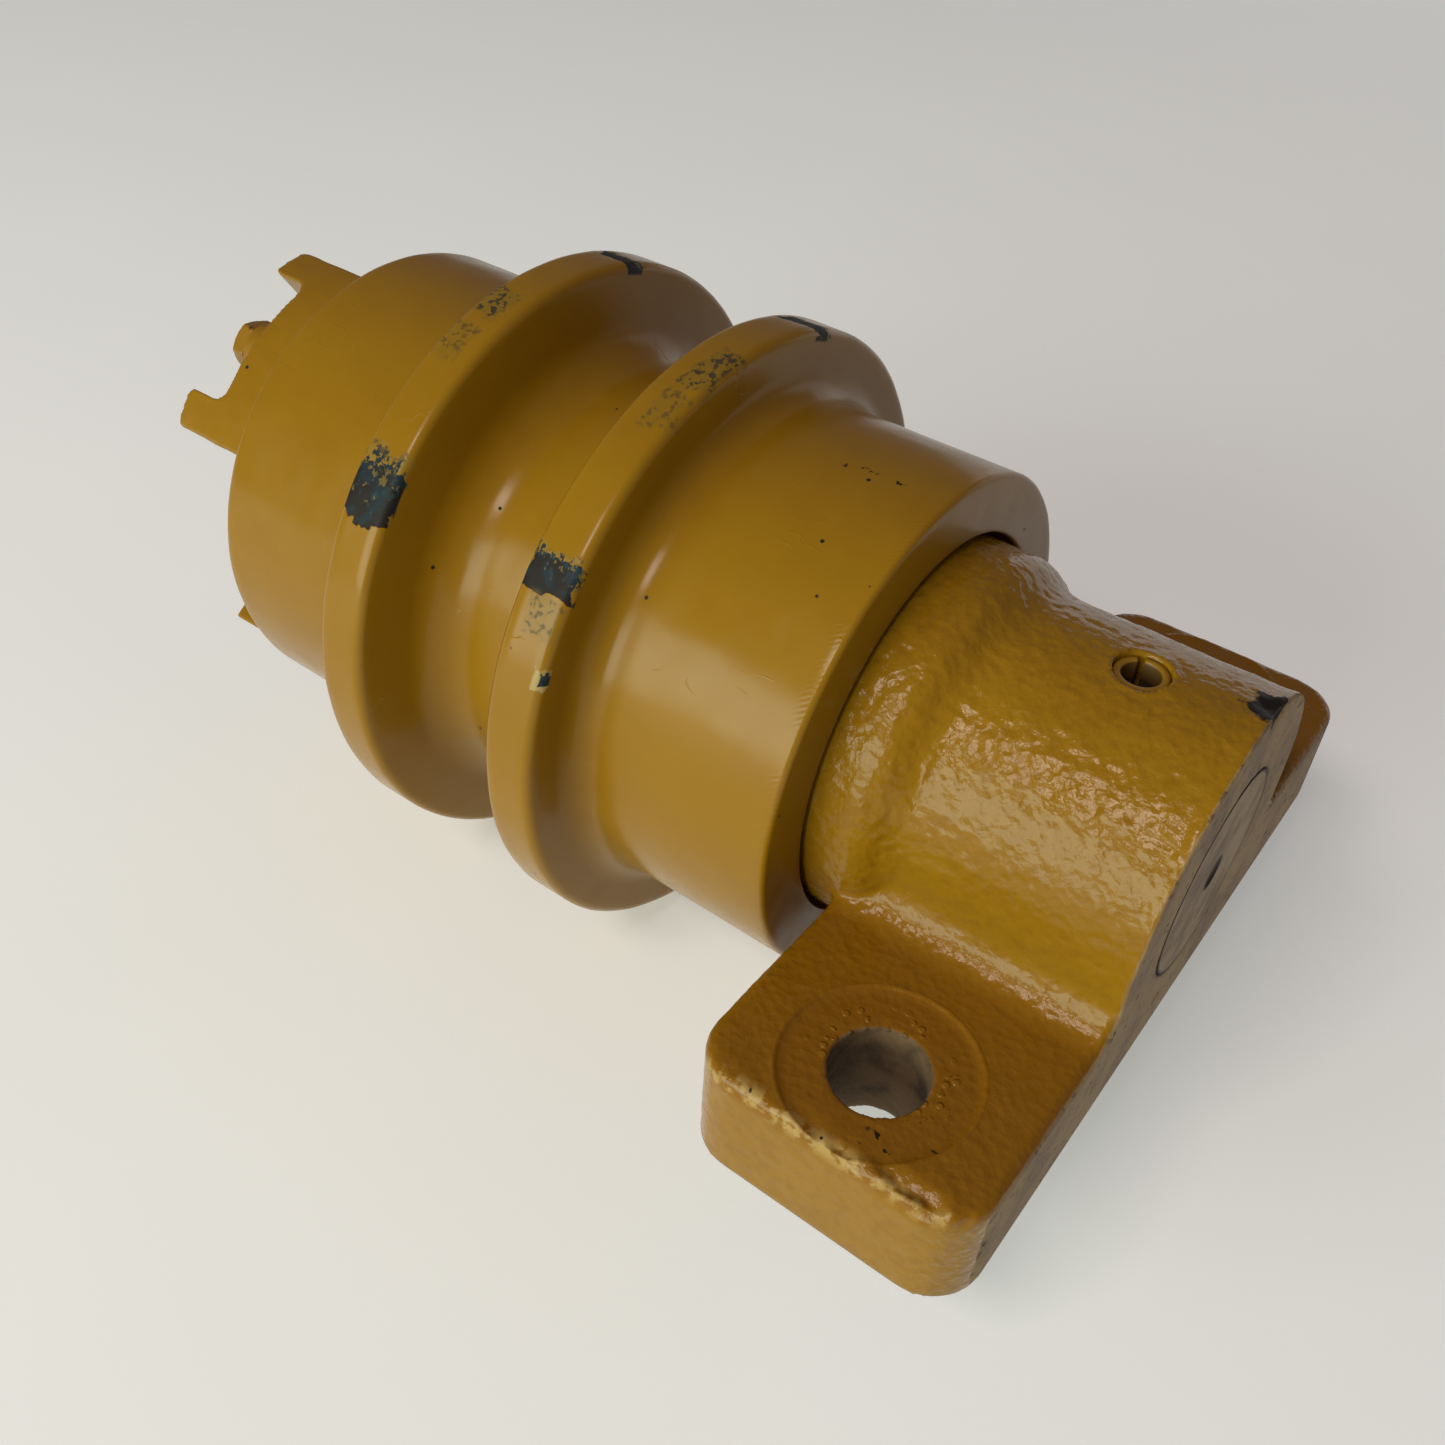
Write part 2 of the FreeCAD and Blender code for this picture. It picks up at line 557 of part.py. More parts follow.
def make_shell():
    """Cast roller shell: two treads, two central flanges, a deep groove, a castellated end."""
    body = new_body("roller_shell", SHELL_START)
    near_face = "flange_inset"
    near_inner = f"({near_face} + flange_width)"
    far_face = f"({near_face} + flange_spread)"
    far_inner = f"({far_face} - flange_width)"
    root = "flange_root_radius"
    edge = "flange_edge_radius"
    bend = "groove_root_radius"
    # The groove's walls lean by this much from the rim down to where the root arc takes over.
    arc_along = f"({bend} * cos(groove_lean))"
    arc_out = f"({bend} * (1 - sin(groove_lean)))"
    lean = f"(({FLANGE_R} - {edge} - {GROOVE_R} - {arc_out}) * tan(groove_lean))"
    rim_end = "(shell_length + rim_length)"
    stations = {
        "counter": "counterbore_depth",
        "inner_face": f"({INNER_BORE} - {SHELL_START})",
        "inner_end": f"({INNER_BORE_END} - {SHELL_START})",
        "outer_start": f"({OUTER_BORE_START} - {SHELL_START})",
        "outer_face": f"({OUTER_SEAT} - {SHELL_START})",
        "cover_seat": "(shell_length - cover_seat_depth)",
    }
    turn(body, "turned_shell", [
        ("0", COUNTERBORE_R),
        ("0", f"{TREAD_R} - tread_edge"),
        ("tread_edge", TREAD_R),
        (f"{near_face} - {root}", TREAD_R, root, 1),
        (near_face, f"{TREAD_R} + {root}"),
        (near_face, f"{FLANGE_R} - {edge}", edge, -1),
        (f"{near_face} + {edge}", FLANGE_R),
        (f"{near_inner} - {edge}", FLANGE_R, edge, -1),
        (near_inner, f"{FLANGE_R} - {edge}"),
        (f"{near_inner} + {lean}", f"{GROOVE_R} + {arc_out}", bend, 1),
        (f"{near_inner} + {lean} + {arc_along}", GROOVE_R),
        (f"{far_inner} - {lean} - {arc_along}", GROOVE_R, bend, 1),
        (f"{far_inner} - {lean}", f"{GROOVE_R} + {arc_out}"),
        (far_inner, f"{FLANGE_R} - {edge}", edge, -1),
        (f"{far_inner} + {edge}", FLANGE_R),
        (f"{far_face} - {edge}", FLANGE_R, edge, -1),
        (far_face, f"{FLANGE_R} - {edge}"),
        (far_face, f"{TREAD_R} + {root}", root, 1),
        (f"{far_face} + {root}", TREAD_R),
        ("shell_length - rim_shoulder", TREAD_R, "rim_shoulder", -1),
        ("shell_length", f"{TREAD_R} - rim_shoulder"),
        ("shell_length", RIM_R),
        (rim_end, RIM_R),
        (rim_end, COVER_R),
        (stations["cover_seat"], COVER_R),
        (stations["cover_seat"], f"{COVER_R} - cover_step"),
        (stations["outer_face"], f"{COVER_R} - cover_step"),
        (stations["outer_face"], OUTER_BUSHING_R),
        (stations["outer_start"], OUTER_BUSHING_R),
        (stations["outer_start"], "cavity_dia / 2"),
        (stations["inner_end"], "cavity_dia / 2"),
        (stations["inner_end"], INNER_BUSHING_R),
        (stations["inner_face"], INNER_BUSHING_R),
        (stations["inner_face"], HOUSING_R),
        (stations["counter"], HOUSING_R),
        (stations["counter"], COUNTERBORE_R),
    ])
    # Three guard segments are left standing on the end: gaps between them, a notch in each.
    wide = f"(2 * {RIM_R})"
    inside = f"({COVER_R} * 2 / 3)"
    gap = new_sketch(body, "gap_outline", "XZ_Plane", f"-{rim_end}")
    gap.AttachmentOffset.Rotation = FreeCAD.Rotation(Vector(0, 0, 1), STEP_ANGLE / 2)
    sector(gap, "rim_gap_angle", inside, wide)
    first_gap = cut(body, "rim_gap", gap, "rim_length")
    gaps = repeat_round(body, "rim_gaps", first_gap)
    tip = worth(rim_end)

    def gap_side(edge):
        return isinstance(edge.Curve, Part.Line) and all(near(spot.y, tip) for spot in ends(edge))

    round_edges(body, "segment_corners", gaps, gap_side, "horn_tip_radius")
    # Each notch is seen square from outside: a rounded U between two guard horns.
    floor = f"({rim_end} - notch_depth)"
    half = f"({RIM_R} * sin(notch_angle / 2))"
    bend = "notch_root_radius"
    tip_bend = "horn_tip_radius"
    notch = new_sketch(body, "notch_outline", "XY_Plane", f"{RIM_R} + 1")
    outline(notch, [
        (f"-{half} - {tip_bend}", f"{rim_end} + 1"),
        (f"-{half} - {tip_bend}", rim_end, tip_bend, -1),
        (f"-{half}", f"{rim_end} - {tip_bend}"),
        (f"-{half}", f"{floor} + {bend}", bend, 1),
        (f"-{half} + {bend}", floor),
        (f"{half} - {bend}", floor, bend, 1),
        (half, f"{floor} + {bend}"),
        (half, f"{rim_end} - {tip_bend}", tip_bend, -1),
        (f"{half} + {tip_bend}", rim_end),
        (f"{half} + {tip_bend}", f"{rim_end} + 1"),
    ])
    first_notch = cut(body, "rim_notch", notch, f"{RIM_R} / 2")
    repeat_round(body, "rim_notches", first_notch)
    hole = new_sketch(body, "cover_hole_circle", "XZ_Plane", f"-{floor}")
    circle(hole, "0", COVER_BOLT_R, "screw_dia / 2")
    first_hole = cut(body, "cover_hole", hole, "cover_screw_length")
    repeat_round(body, "cover_holes", first_hole)
    body.Placement.Rotation = FreeCAD.Rotation(Vector(0, 1, 0), SIZES["rim_turn"])


def make_bushing(name, face, way, radius):
    """Flanged bronze bushing pressed into the shell; the flange takes the end thrust."""
    body = new_body(name, face)
    flange = f"({way} * bushing_flange_width)"
    length = f"({way} * (bushing_flange_width + bushing_length))"
    bore = f"({radius} - bushing_wall + running_clearance)"
    turn(body, f"{name}_turned", [
        ("0", bore),
        ("0", f"{radius} - bushing_wall + bushing_flange_reach"),
        (flange, f"{radius} - bushing_wall + bushing_flange_reach"),
        (flange, radius),
        (length, radius),
        (length, bore),
    ])


def make_thrust_parts():
    """Bronze washer and steel plate on the shaft's end, which keep the roller on."""
    washer = new_body("thrust_washer", WASHER_FACE)
    turn(washer, "thrust_washer_turned", [
        ("0", TAIL_R),
        ("0", PLATE_R),
        ("thrust_washer_width", PLATE_R),
        ("thrust_washer_width", TAIL_R),
    ])
    plate = new_body("thrust_plate", SHAFT_END)
    disc = new_sketch(plate, "plate_circle", "XZ_Plane", "-thrust_plate_width")
    circle(disc, "0", "0", PLATE_R)
    pad(plate, "plate", disc, "thrust_plate_width")
    hole = new_sketch(plate, "plate_hole_circle", "XZ_Plane", "-thrust_plate_width")
    circle(hole, "0", "thrust_bolt_circle / 2", SCREW_HOLE_R)
    first = cut(plate, "plate_hole", hole, "thrust_plate_width")
    repeat_round(plate, "plate_holes", first)


def round_set(name, make_one, radius, along, first_turn):
    """Three equal pieces about the roller axis, grouped as one node of separate solids."""
    pieces = []
    for number in range(COUNT):
        piece = make_one(f"{name}_{number + 1}")
        spin = math.radians(first_turn + STEP_ANGLE * number)
        tie(piece, ".Placement.Base.x", f"{radius} * {math.sin(spin):.9f}")
        tie(piece, ".Placement.Base.y", along)
        tie(piece, ".Placement.Base.z", f"axis_height + {radius} * {math.cos(spin):.9f}")
        piece.Placement.Rotation = FreeCAD.Rotation(Vector(0, 1, 0), first_turn + STEP_ANGLE * number)
        pieces.append(piece)
    group = doc.addObject("Part::Compound", name)
    group.Label = name
    group.Links = pieces
    NODES.append(group)


def hexagon(sketch, flats):
    """A regular hexagon with two flats level."""
    corner = f"({flats} / 2 / cos(30))"
    angles = range(0, FULL_TURN, 60)
    outline(sketch, [(f"{corner} * cos({angle})", f"{corner} * sin({angle})" if angle % 180 else "0")
                     for angle in angles])


def screw_maker(length):
    """A maker of hexagon screws of this length under the head."""
    def one(name):
        body = new_body(name, node=False)
        head = new_sketch(body, "head_outline", "XZ_Plane")
        hexagon(head, "screw_flats")
        pad(body, "head", head, "screw_head", True)
        turn(body, "shank", [
            ("screw_head / 2", "0"),
            ("screw_head / 2", "screw_dia / 2"),
            (f"chamfer_size - {length}", "screw_dia / 2"),
            (f"-{length}", "screw_dia / 2 - chamfer_size"),
            (f"-{length}", "0"),
        ])
        return body
    return one


def lock_washer(name):
    """A flat-wound spring lock washer, cut through once."""
    body = new_body(name, node=False)
    turn(body, "washer", [
        ("0", SCREW_HOLE_R),
        ("0", WASHER_R),
        ("washer_width", WASHER_R),
        ("washer_width", SCREW_HOLE_R),
    ])
    split = new_sketch(body, "split_outline", "XZ_Plane", "-washer_width")
    outline(split, [
        ("screw_dia / 4", "-washer_width / 4"),
        (f"2 * {WASHER_R}", "-washer_width / 4"),
        (f"2 * {WASHER_R}", "washer_width / 4"),
        ("screw_dia / 4", "washer_width / 4"),
    ])
    cut(body, "split", split, "washer_width")
    return body


def make_cover():
    """End cover: a ringed plug in the shell's bore with three ears in the rim's notches."""
    body = new_body("end_cover", COVER_START)
    height = f"({COVER_TOP} - {COVER_START})"
    web_top = f"({DISH_FLOOR} - {COVER_START})"
    web_low = f"({web_top} - cover_web)"
    groove = "(cover_ring_inset - ring_groove_width / 2)"
    groove_end = "(cover_ring_inset + ring_groove_width / 2)"
    inside = f"({COVER_R} - cover_wall)"
    turn(body, "turned_cover", [
        ("0", inside),
        ("0", COVER_R),
        (groove, COVER_R),
        (groove, COVER_GROOVE_R),
        (groove_end, COVER_GROOVE_R),
        (groove_end, COVER_R),
        (height, COVER_R),
        (height, inside),
        (web_top, f"{inside} - cover_dish_taper"),
        (web_top, "plug_dia / 2"),
        (web_low, "plug_dia / 2"),
        (web_low, inside),
    ])
    ear = new_sketch(body, "ear_outline", "XZ_Plane", f"-{height}")
    outline(ear, [
        ("-cover_ear_width / 2", f"{inside} + cover_ear_overlap"),
        ("cover_ear_width / 2", f"{inside} + cover_ear_overlap"),
        ("cover_ear_width / 2", COVER_BOLT_R, "cover_ear_width / 2", 1),
        ("0", f"{COVER_BOLT_R} + cover_ear_width / 2", "cover_ear_width / 2", 1),
        ("-cover_ear_width / 2", COVER_BOLT_R),
    ])
    first_ear = pad(body, "ear", ear, "cover_ear_thickness")
    repeat_round(body, "ears", first_ear)
    hole = new_sketch(body, "ear_hole_circle", "XZ_Plane", f"-{height}")
    circle(hole, "0", COVER_BOLT_R, SCREW_HOLE_R)
    first_hole = cut(body, "ear_hole", hole, "cover_ear_thickness")
    repeat_round(body, "ear_holes", first_hole)
    body.Placement.Rotation = FreeCAD.Rotation(Vector(0, 1, 0), SIZES["rim_turn"])


def make_fill_plug():
    """Socket-headed oil plug in the middle of the cover, on a sealing washer."""
    body = new_body("fill_plug", PLUG_SEAT)
    turn(body, "turned_plug", [
        ("-(plug_washer_width + cover_web)", "0"),
        ("-(plug_washer_width + cover_web)", "plug_dia / 2"),
        ("0", "plug_dia / 2"),
        ("0", "plug_dia / 2 + plug_head_rim"),
        ("plug_head - chamfer_size", "plug_dia / 2 + plug_head_rim"),
        ("plug_head", "plug_dia / 2 + plug_head_rim - chamfer_size"),
        ("plug_head", "0"),
    ])
    socket = new_sketch(body, "socket_outline", "XZ_Plane", "-plug_head")
    hexagon(socket, "plug_socket")
    cut(body, "socket", socket, "plug_socket_depth")
    washer = new_body("fill_plug_washer", DISH_FLOOR)
    turn(washer, "plug_washer_turned", [
        ("0", "plug_dia / 2"),
        ("0", "plug_dia / 2 + plug_washer_rim"),
        ("plug_washer_width", "plug_dia / 2 + plug_washer_rim"),
        ("plug_washer_width", "plug_dia / 2"),
    ])


make_bracket()
make_shaft()
make_spring_pin()
make_ring("shaft_o_ring", f"{END_FACE} + shaft_ring_inset + ring_groove_width / 2",
          f"{SHAFT_GROOVE_R} + ring_section / 2", "ring_section / 2")
make_seal_ring("stationary_seal_ring", SEAL_FACE, "-1")
make_ring("stationary_toric_ring", f"{SEAL_FACE} - seal_nose_width - {TORIC_R} - toric_clear",
          TORIC_CENTRE_R, TORIC_R)
make_seal_ring("rotating_seal_ring", f"{SEAL_FACE} + seal_gap", "1")
make_ring("rotating_toric_ring", f"{SEAL_FACE} + seal_gap + seal_nose_width + {TORIC_R} + toric_clear",
          TORIC_CENTRE_R, TORIC_R)
make_shell()
make_bushing("inner_bushing", INNER_BUSHING, "1", INNER_BUSHING_R)
make_bushing("outer_bushing", OUTER_BUSHING_END, "-1", OUTER_BUSHING_R)
make_thrust_parts()
round_set("thrust_plate_lock_washers", lock_washer, "thrust_bolt_circle / 2", PLATE_FACE, 0)
round_set("thrust_plate_bolts", screw_maker("thrust_screw_length"), "thrust_bolt_circle / 2",
          THRUST_HEAD, 0)
make_cover()
make_ring("cover_o_ring", f"{COVER_START} + cover_ring_inset", f"{COVER_GROOVE_R} + ring_section / 2",
          "ring_section / 2")
round_set("cover_lock_washers", lock_washer, COVER_BOLT_R, COVER_TOP, SIZES["rim_turn"])
round_set("cover_bolts", screw_maker("cover_screw_length"), COVER_BOLT_R, COVER_HEAD,
          SIZES["rim_turn"])
make_fill_plug()
doc.recompute()

for item in doc.Objects:
    if "Invalid" in item.State or "Error" in item.State:
        raise RuntimeError(f"{item.Label} failed: {item.State}")
os.makedirs("parts", exist_ok=True)
for node in NODES:
    if node.Shape.isNull() or not node.Shape.isValid():
        raise RuntimeError(f"{node.Label} has no sound shape")
    node.Shape.exportStep(f"parts/{node.Label}.step")
    box = node.Shape.BoundBox
    print(f"{node.Label:28s} {len(node.Shape.Solids)} solids {node.Shape.Volume:12.1f} mm3"
          f"  x {box.XMin:8.2f} {box.XMax:8.2f}  y {box.YMin:8.2f} {box.YMax:8.2f}"
          f"  z {box.ZMin:8.2f} {box.ZMax:8.2f}")
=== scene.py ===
import math

import bmesh
import bpy
import numpy as np
from mathutils import Matrix, Vector


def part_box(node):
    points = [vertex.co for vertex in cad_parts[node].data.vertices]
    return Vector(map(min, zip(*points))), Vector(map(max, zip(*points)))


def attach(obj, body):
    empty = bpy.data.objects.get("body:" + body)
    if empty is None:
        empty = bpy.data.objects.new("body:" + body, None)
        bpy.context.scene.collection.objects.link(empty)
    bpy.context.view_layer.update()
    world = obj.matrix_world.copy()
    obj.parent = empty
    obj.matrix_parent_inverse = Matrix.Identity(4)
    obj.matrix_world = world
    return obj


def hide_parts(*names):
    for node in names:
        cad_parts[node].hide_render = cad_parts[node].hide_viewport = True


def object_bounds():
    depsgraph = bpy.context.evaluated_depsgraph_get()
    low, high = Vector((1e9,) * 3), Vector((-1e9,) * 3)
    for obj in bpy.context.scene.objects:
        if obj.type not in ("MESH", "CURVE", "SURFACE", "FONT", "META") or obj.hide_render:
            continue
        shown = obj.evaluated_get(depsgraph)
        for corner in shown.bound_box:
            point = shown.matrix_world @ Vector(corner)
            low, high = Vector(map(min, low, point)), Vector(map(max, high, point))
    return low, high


# One millimetre, in the frame's metres.
MM = 0.001

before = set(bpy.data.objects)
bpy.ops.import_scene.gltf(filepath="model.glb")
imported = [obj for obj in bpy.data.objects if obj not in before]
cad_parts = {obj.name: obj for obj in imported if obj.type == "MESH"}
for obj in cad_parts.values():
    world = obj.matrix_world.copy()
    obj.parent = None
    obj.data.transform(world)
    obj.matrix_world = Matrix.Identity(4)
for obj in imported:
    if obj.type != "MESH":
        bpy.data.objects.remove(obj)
cad_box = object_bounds()

# --- The view ---------------------------------------------------------------
# A hand-held camera close over the near bolt ear, looking down and along
# the roller towards its castellated end.
LENS_MM = 35.65
STAND = Vector((-0.24925, -0.07235, 0.27741))
RIGHT = Vector((0.59738, -0.80040, 0.04995))
UP = Vector((0.50722, 0.42535, 0.74954))
LENS_SHIFT = (-0.0113, 0.0064)

camera = bpy.data.objects.new("camera", bpy.data.cameras.new("camera"))
bpy.context.scene.collection.objects.link(camera)
camera.data.lens = LENS_MM
camera.data.shift_x, camera.data.shift_y = LENS_SHIFT
camera.data.clip_start = 0.01
camera.matrix_world = Matrix.Translation(STAND) @ Matrix((RIGHT, UP, RIGHT.cross(UP))).transposed().to_4x4()
bpy.context.scene.camera = camera

# --- The studio -------------------------------------------------------------
# A pale floor under the flanges. A wide doorway lights the near ear's side
# from low down, a smaller window above it gives the gloss its highlights, and
# a pale wall on the far side fills the shadows. The room itself looks pale.
FLOOR_DROP = 0.0005
FLOOR_REACH = 6.0
FLOOR_DARK, FLOOR_PALE = (0.79, 0.85, 0.89), (0.83, 0.89, 0.93)
FLOOR_GLOW, GLOW_STRENGTH = (1.0, 0.99, 0.98), 0.22
DOORWAY_TINT, WINDOW_TINT = (1.0, 1.08, 0.88), (1.0, 0.82, 0.72)
ROOM_TINT, ROOM_STRENGTH = (1.0, 0.84, 0.77), 0.17
ROOM_SEEN = (0.78, 0.78, 0.77)
LIT_SPOT = (0.0, 0.1, 0.04)


def light_panel(name, spot, size, power, tint=(1.0, 1.0, 1.0)):
    """A flat panel of light of the given width and height, turned to face the roller."""
    panel = bpy.data.lights.new(name, "AREA")
    panel.shape = "RECTANGLE"
    panel.size, panel.size_y = size
    panel.energy = power
    panel.color = tint
    lamp = bpy.data.objects.new(name, panel)
    bpy.context.scene.collection.objects.link(lamp)
    look = (Vector(LIT_SPOT) - Vector(spot)).to_track_quat("-Z", "Y")
    lamp.matrix_world = Matrix.Translation(Vector(spot)) @ look.to_matrix().to_4x4()


light_panel("doorway", (-2.1, 0.60, 0.66), (2.0, 1.1), 36.0, DOORWAY_TINT)
light_panel("window", (-1.26, 0.20, 1.58), (0.75, 0.42), 12.0, WINDOW_TINT)
light_panel("side_wall", (1.9, -0.1, 0.28), (1.8, 0.5), 2.0)
bpy.context.scene.view_settings.view_transform = "Standard"
world = bpy.data.worlds.new("room")
world.use_nodes = True
room = world.node_tree
room_light = room.nodes["Background"]
room_light.inputs["Color"].default_value = (*ROOM_TINT, 1.0)
room_light.inputs["Strength"].default_value = ROOM_STRENGTH
room_seen = room.nodes.new("ShaderNodeBackground")
room_seen.inputs["Color"].default_value = (*ROOM_SEEN, 1.0)
which = room.nodes.new("ShaderNodeMixShader")
room.links.new(room.nodes.new("ShaderNodeLightPath").outputs["Is Camera Ray"], which.inputs[0])
room.links.new(room_light.outputs[0], which.inputs[1])
room.links.new(room_seen.outputs[0], which.inputs[2])
room.links.new(which.outputs[0], room.nodes["World Output"].inputs["Surface"])
bpy.context.scene.world = world


class Amount:
    """A number or colour at each spot of a surface: a node's socket, with Python's own arithmetic."""

    def __init__(self, finish, socket):
        self.finish = finish
        self.socket = socket

    def work(self, operation, *values):
        return self.finish.node("ShaderNodeMath", {"operation": operation}, enumerate(values))

    def __add__(self, other):
        return self.work("ADD", self, other)

    def __sub__(self, other):
        return self.work("SUBTRACT", self, other)

    def __rsub__(self, other):
        return self.work("SUBTRACT", other, self)

    def __mul__(self, other):
        return self.work("MULTIPLY", self, other)

    def __truediv__(self, other):
        return self.work("DIVIDE", self, other)

    def __abs__(self):
        return self.work("ABSOLUTE", self)

    __radd__ = __add__
    __rmul__ = __mul__

    def rise(self, low, high):
        """0 up to low, 1 from high on, and an even S between them; high below low turns it round."""
        settings = {"interpolation_type": "SMOOTHSTEP"}
        if high < low:
            return 1 - self.rise(high, low)
        return self.finish.node("ShaderNodeMapRange", settings, {0: self, 1: low, 2: high})


class Finish:
    """A surface finish that is built up in layers, each one laid over the last where its mask is 1."""

    def __init__(self, name, colour, rough, metal=0.0, gloss=0.5):
        self.material = bpy.data.materials.new(name)
        self.material.use_nodes = True
        self.tree = self.material.node_tree
        self.shader = self.tree.nodes["Principled BSDF"]
        self.shader.inputs["Specular IOR Level"].default_value = gloss
        self.place = self.node("ShaderNodeTexCoord", out="Object")
        split = self.node("ShaderNodeSeparateXYZ", inputs={0: self.place}).socket.node
        self.x, self.y, self.z = (Amount(self, axis) * 1000 for axis in split.outputs)
        self.colour = colour
        self.rough = rough
        self.metal = metal
        self.height = 0.0

    def node(self, kind, settings=(), inputs=(), out=0):
        """Adds any node: its settings first, then the value or the link of each socket."""
        made = self.tree.nodes.new(kind)
        for key, value in dict(settings).items():
            setattr(made, key, value)
        for key, value in dict(inputs).items():
            if isinstance(value, Amount):
                self.tree.links.new(value.socket, made.inputs[key])
            else:
                made.inputs[key].default_value = value
        return Amount(self, made.outputs[out])

    def tint(self, share, first, second):
        """The first colour where share is 0, the second where it is 1."""
        first, second = (c if isinstance(c, Amount) else (*c, 1.0) for c in (first, second))
        return self.node("ShaderNodeMix", {"data_type": "RGBA"}, {0: share, 6: first, 7: second}, 2)

    def grain(self, size, detail=2.0, seed=0.0, stretch=None):
        """Cloudy noise round 0.5, of lumps about size millimetres across."""
        place = self.place
        if stretch:
            place = self.node("ShaderNodeMapping", inputs={0: place, 3: stretch})
        inputs = {"Vector": place, "W": seed, "Scale": 1000 / size, "Detail": detail}
        return self.node("ShaderNodeTexNoise", {"noise_dimensions": "4D"}, inputs)

    def cells(self, size, seed):
        """Distance from the nearest of many scattered points, about size millimetres apart."""
        place = self.node("ShaderNodeMapping", inputs={0: self.place, 1: (seed, seed, seed)})
        return self.node("ShaderNodeTexVoronoi", inputs={"Vector": place, "Scale": 1000 / size})

    def lay(self, mask, colour=None, rough=None, metal=None):
        """Lays a colour, a roughness or a bare metal over what is there, where mask is 1."""
        if colour is not None:
            self.colour = self.tint(mask, self.colour, colour)
        if rough is not None:
            self.rough = mask * (rough - self.rough) + self.rough
        if metal is not None:
            self.metal = mask * (metal - self.metal) + self.metal

    def done(self):
        """Joins the layers to the shader. The heights are in millimetres."""
        for name, value in (("Base Color", self.colour), ("Roughness", self.rough), ("Metallic", self.metal)):
            if isinstance(value, Amount):
                self.tree.links.new(value.socket, self.shader.inputs[name])
            else:
                self.shader.inputs[name].default_value = (*value, 1.0) if name == "Base Color" else value
        if isinstance(self.height, Amount):
            bump = self.node("ShaderNodeBump", inputs={"Distance": MM, "Height": self.height})
            self.tree.links.new(bump.socket, self.shader.inputs["Normal"])
        return self.material


floor_mesh = bpy.data.meshes.new("floor")
floor_z = cad_box[0].z - FLOOR_DROP
floor_corners = [(x * FLOOR_REACH, y * FLOOR_REACH, floor_z) for x, y in ((-1, -1), (1, -1), (1, 1), (-1, 1))]
floor_mesh.from_pydata(floor_corners, [], [(0, 1, 2, 3)])
floor = bpy.data.objects.new("floor", floor_mesh)
bpy.context.scene.collection.objects.link(floor)
pale = Finish("pale_floor", FLOOR_DARK, 0.75)
pale.shader.inputs["Emission Color"].default_value = (*FLOOR_GLOW, 1.0)
pale.shader.inputs["Emission Strength"].default_value = GLOW_STRENGTH
pale.lay(pale.grain(90.0), FLOOR_PALE)
floor_mesh.materials.append(pale.done())

# --- The bracket ------------------------------------------------------------
# A steel casting: a flat foot with two bolt ears under a round hub. The skin
# is pebbled by the sand mould and sprayed with thick gloss ochre paint; the
# spot faces are milled, and the hub's end face is left bare after machining.
AXIS_MM = 45.0
AXIS_Z = AXIS_MM / 1000
BOLT_X, SPOT_R, HOLE_R = 82.5, 22.2, 11.5
KNOCK_X, KNOCK_Z = 7.0, 89.0
EAR_MILLED = (28.4, 28.8)
SAND_CUBES = 48
OCHRE = (0.275, 0.143, 0.0052)
OCHRE_DEEP = (0.215, 0.097, 0.0040)
OCHRE_PALE = (0.33, 0.175, 0.015)
PRIMER = (0.010, 0.007, 0.006)
PETROL = (0.005, 0.018, 0.026)
BARE = (0.31, 0.215, 0.105)
# the first is painted shade for the ear tops; the second browns the milled spot faces
EAR_TOP_SHADE, SPOT_BROWN = (0.215, 0.086, 0.0042), (0.190, 0.072, 0.0036)
WALL_RUST, WALL_SHADE = (0.15, 0.098, 0.050), (0.06, 0.038, 0.020)
FLASH_PALE = (0.44, 0.31, 0.10)
END_STAIN, END_GRIT, END_PITS = (0.16, 0.095, 0.05), (0.09, 0.055, 0.030), (0.015, 0.011, 0.009)
JOINT_DARK = (0.045, 0.027, 0.015)
FOOT_WORN = (0.30, 0.27, 0.22)
BRACKET_SQUARE = 0.00097


def points_of(mesh):
    """The mesh's points, and the outward direction at each, as two arrays in metres."""
    spots = np.empty(len(mesh.vertices) * 3)
    mesh.vertices.foreach_get("co", spots)
    ways = np.empty(len(mesh.vertices) * 3)
    mesh.vertex_normals.foreach_get("vector", ways)
    return spots.reshape(-1, 3), ways.reshape(-1, 3)


def sink(piece, depth):
    """Moves each point of a piece inwards, against its outward direction, by depth in millimetres."""
    spots, outward = points_of(piece.data)
    spots = spots - outward * depth[:, None] * MM
    piece.data.vertices.foreach_set("co", spots.ravel())
    piece.data.update()


def lumps(spots, size, seed):
    """Smooth random heights from -1 to 1: a random number at each corner of a grid of cubes,
    size millimetres wide, and an even S between them in all three directions."""
    corners = np.random.default_rng(seed).uniform(-1, 1, (SAND_CUBES,) * 3)
    scaled = spots * 1000 / size
    cell = np.floor(scaled).astype(int)
    part = scaled - cell
    part = part * part * (3 - 2 * part)
    height = np.zeros(len(spots))
    for corner in np.ndindex(2, 2, 2):
        share = np.prod(np.where(corner, part, 1 - part), axis=1)
        a, b, c = ((cell + corner) % SAND_CUBES).T
        height += share * corners[a, b, c]
    return height


def ramp(values, low, high):
    """0 up to low, 1 from high on, and an even S between."""
    part = np.clip((values - low) / (high - low), 0, 1)
    return part * part * (3 - 2 * part)


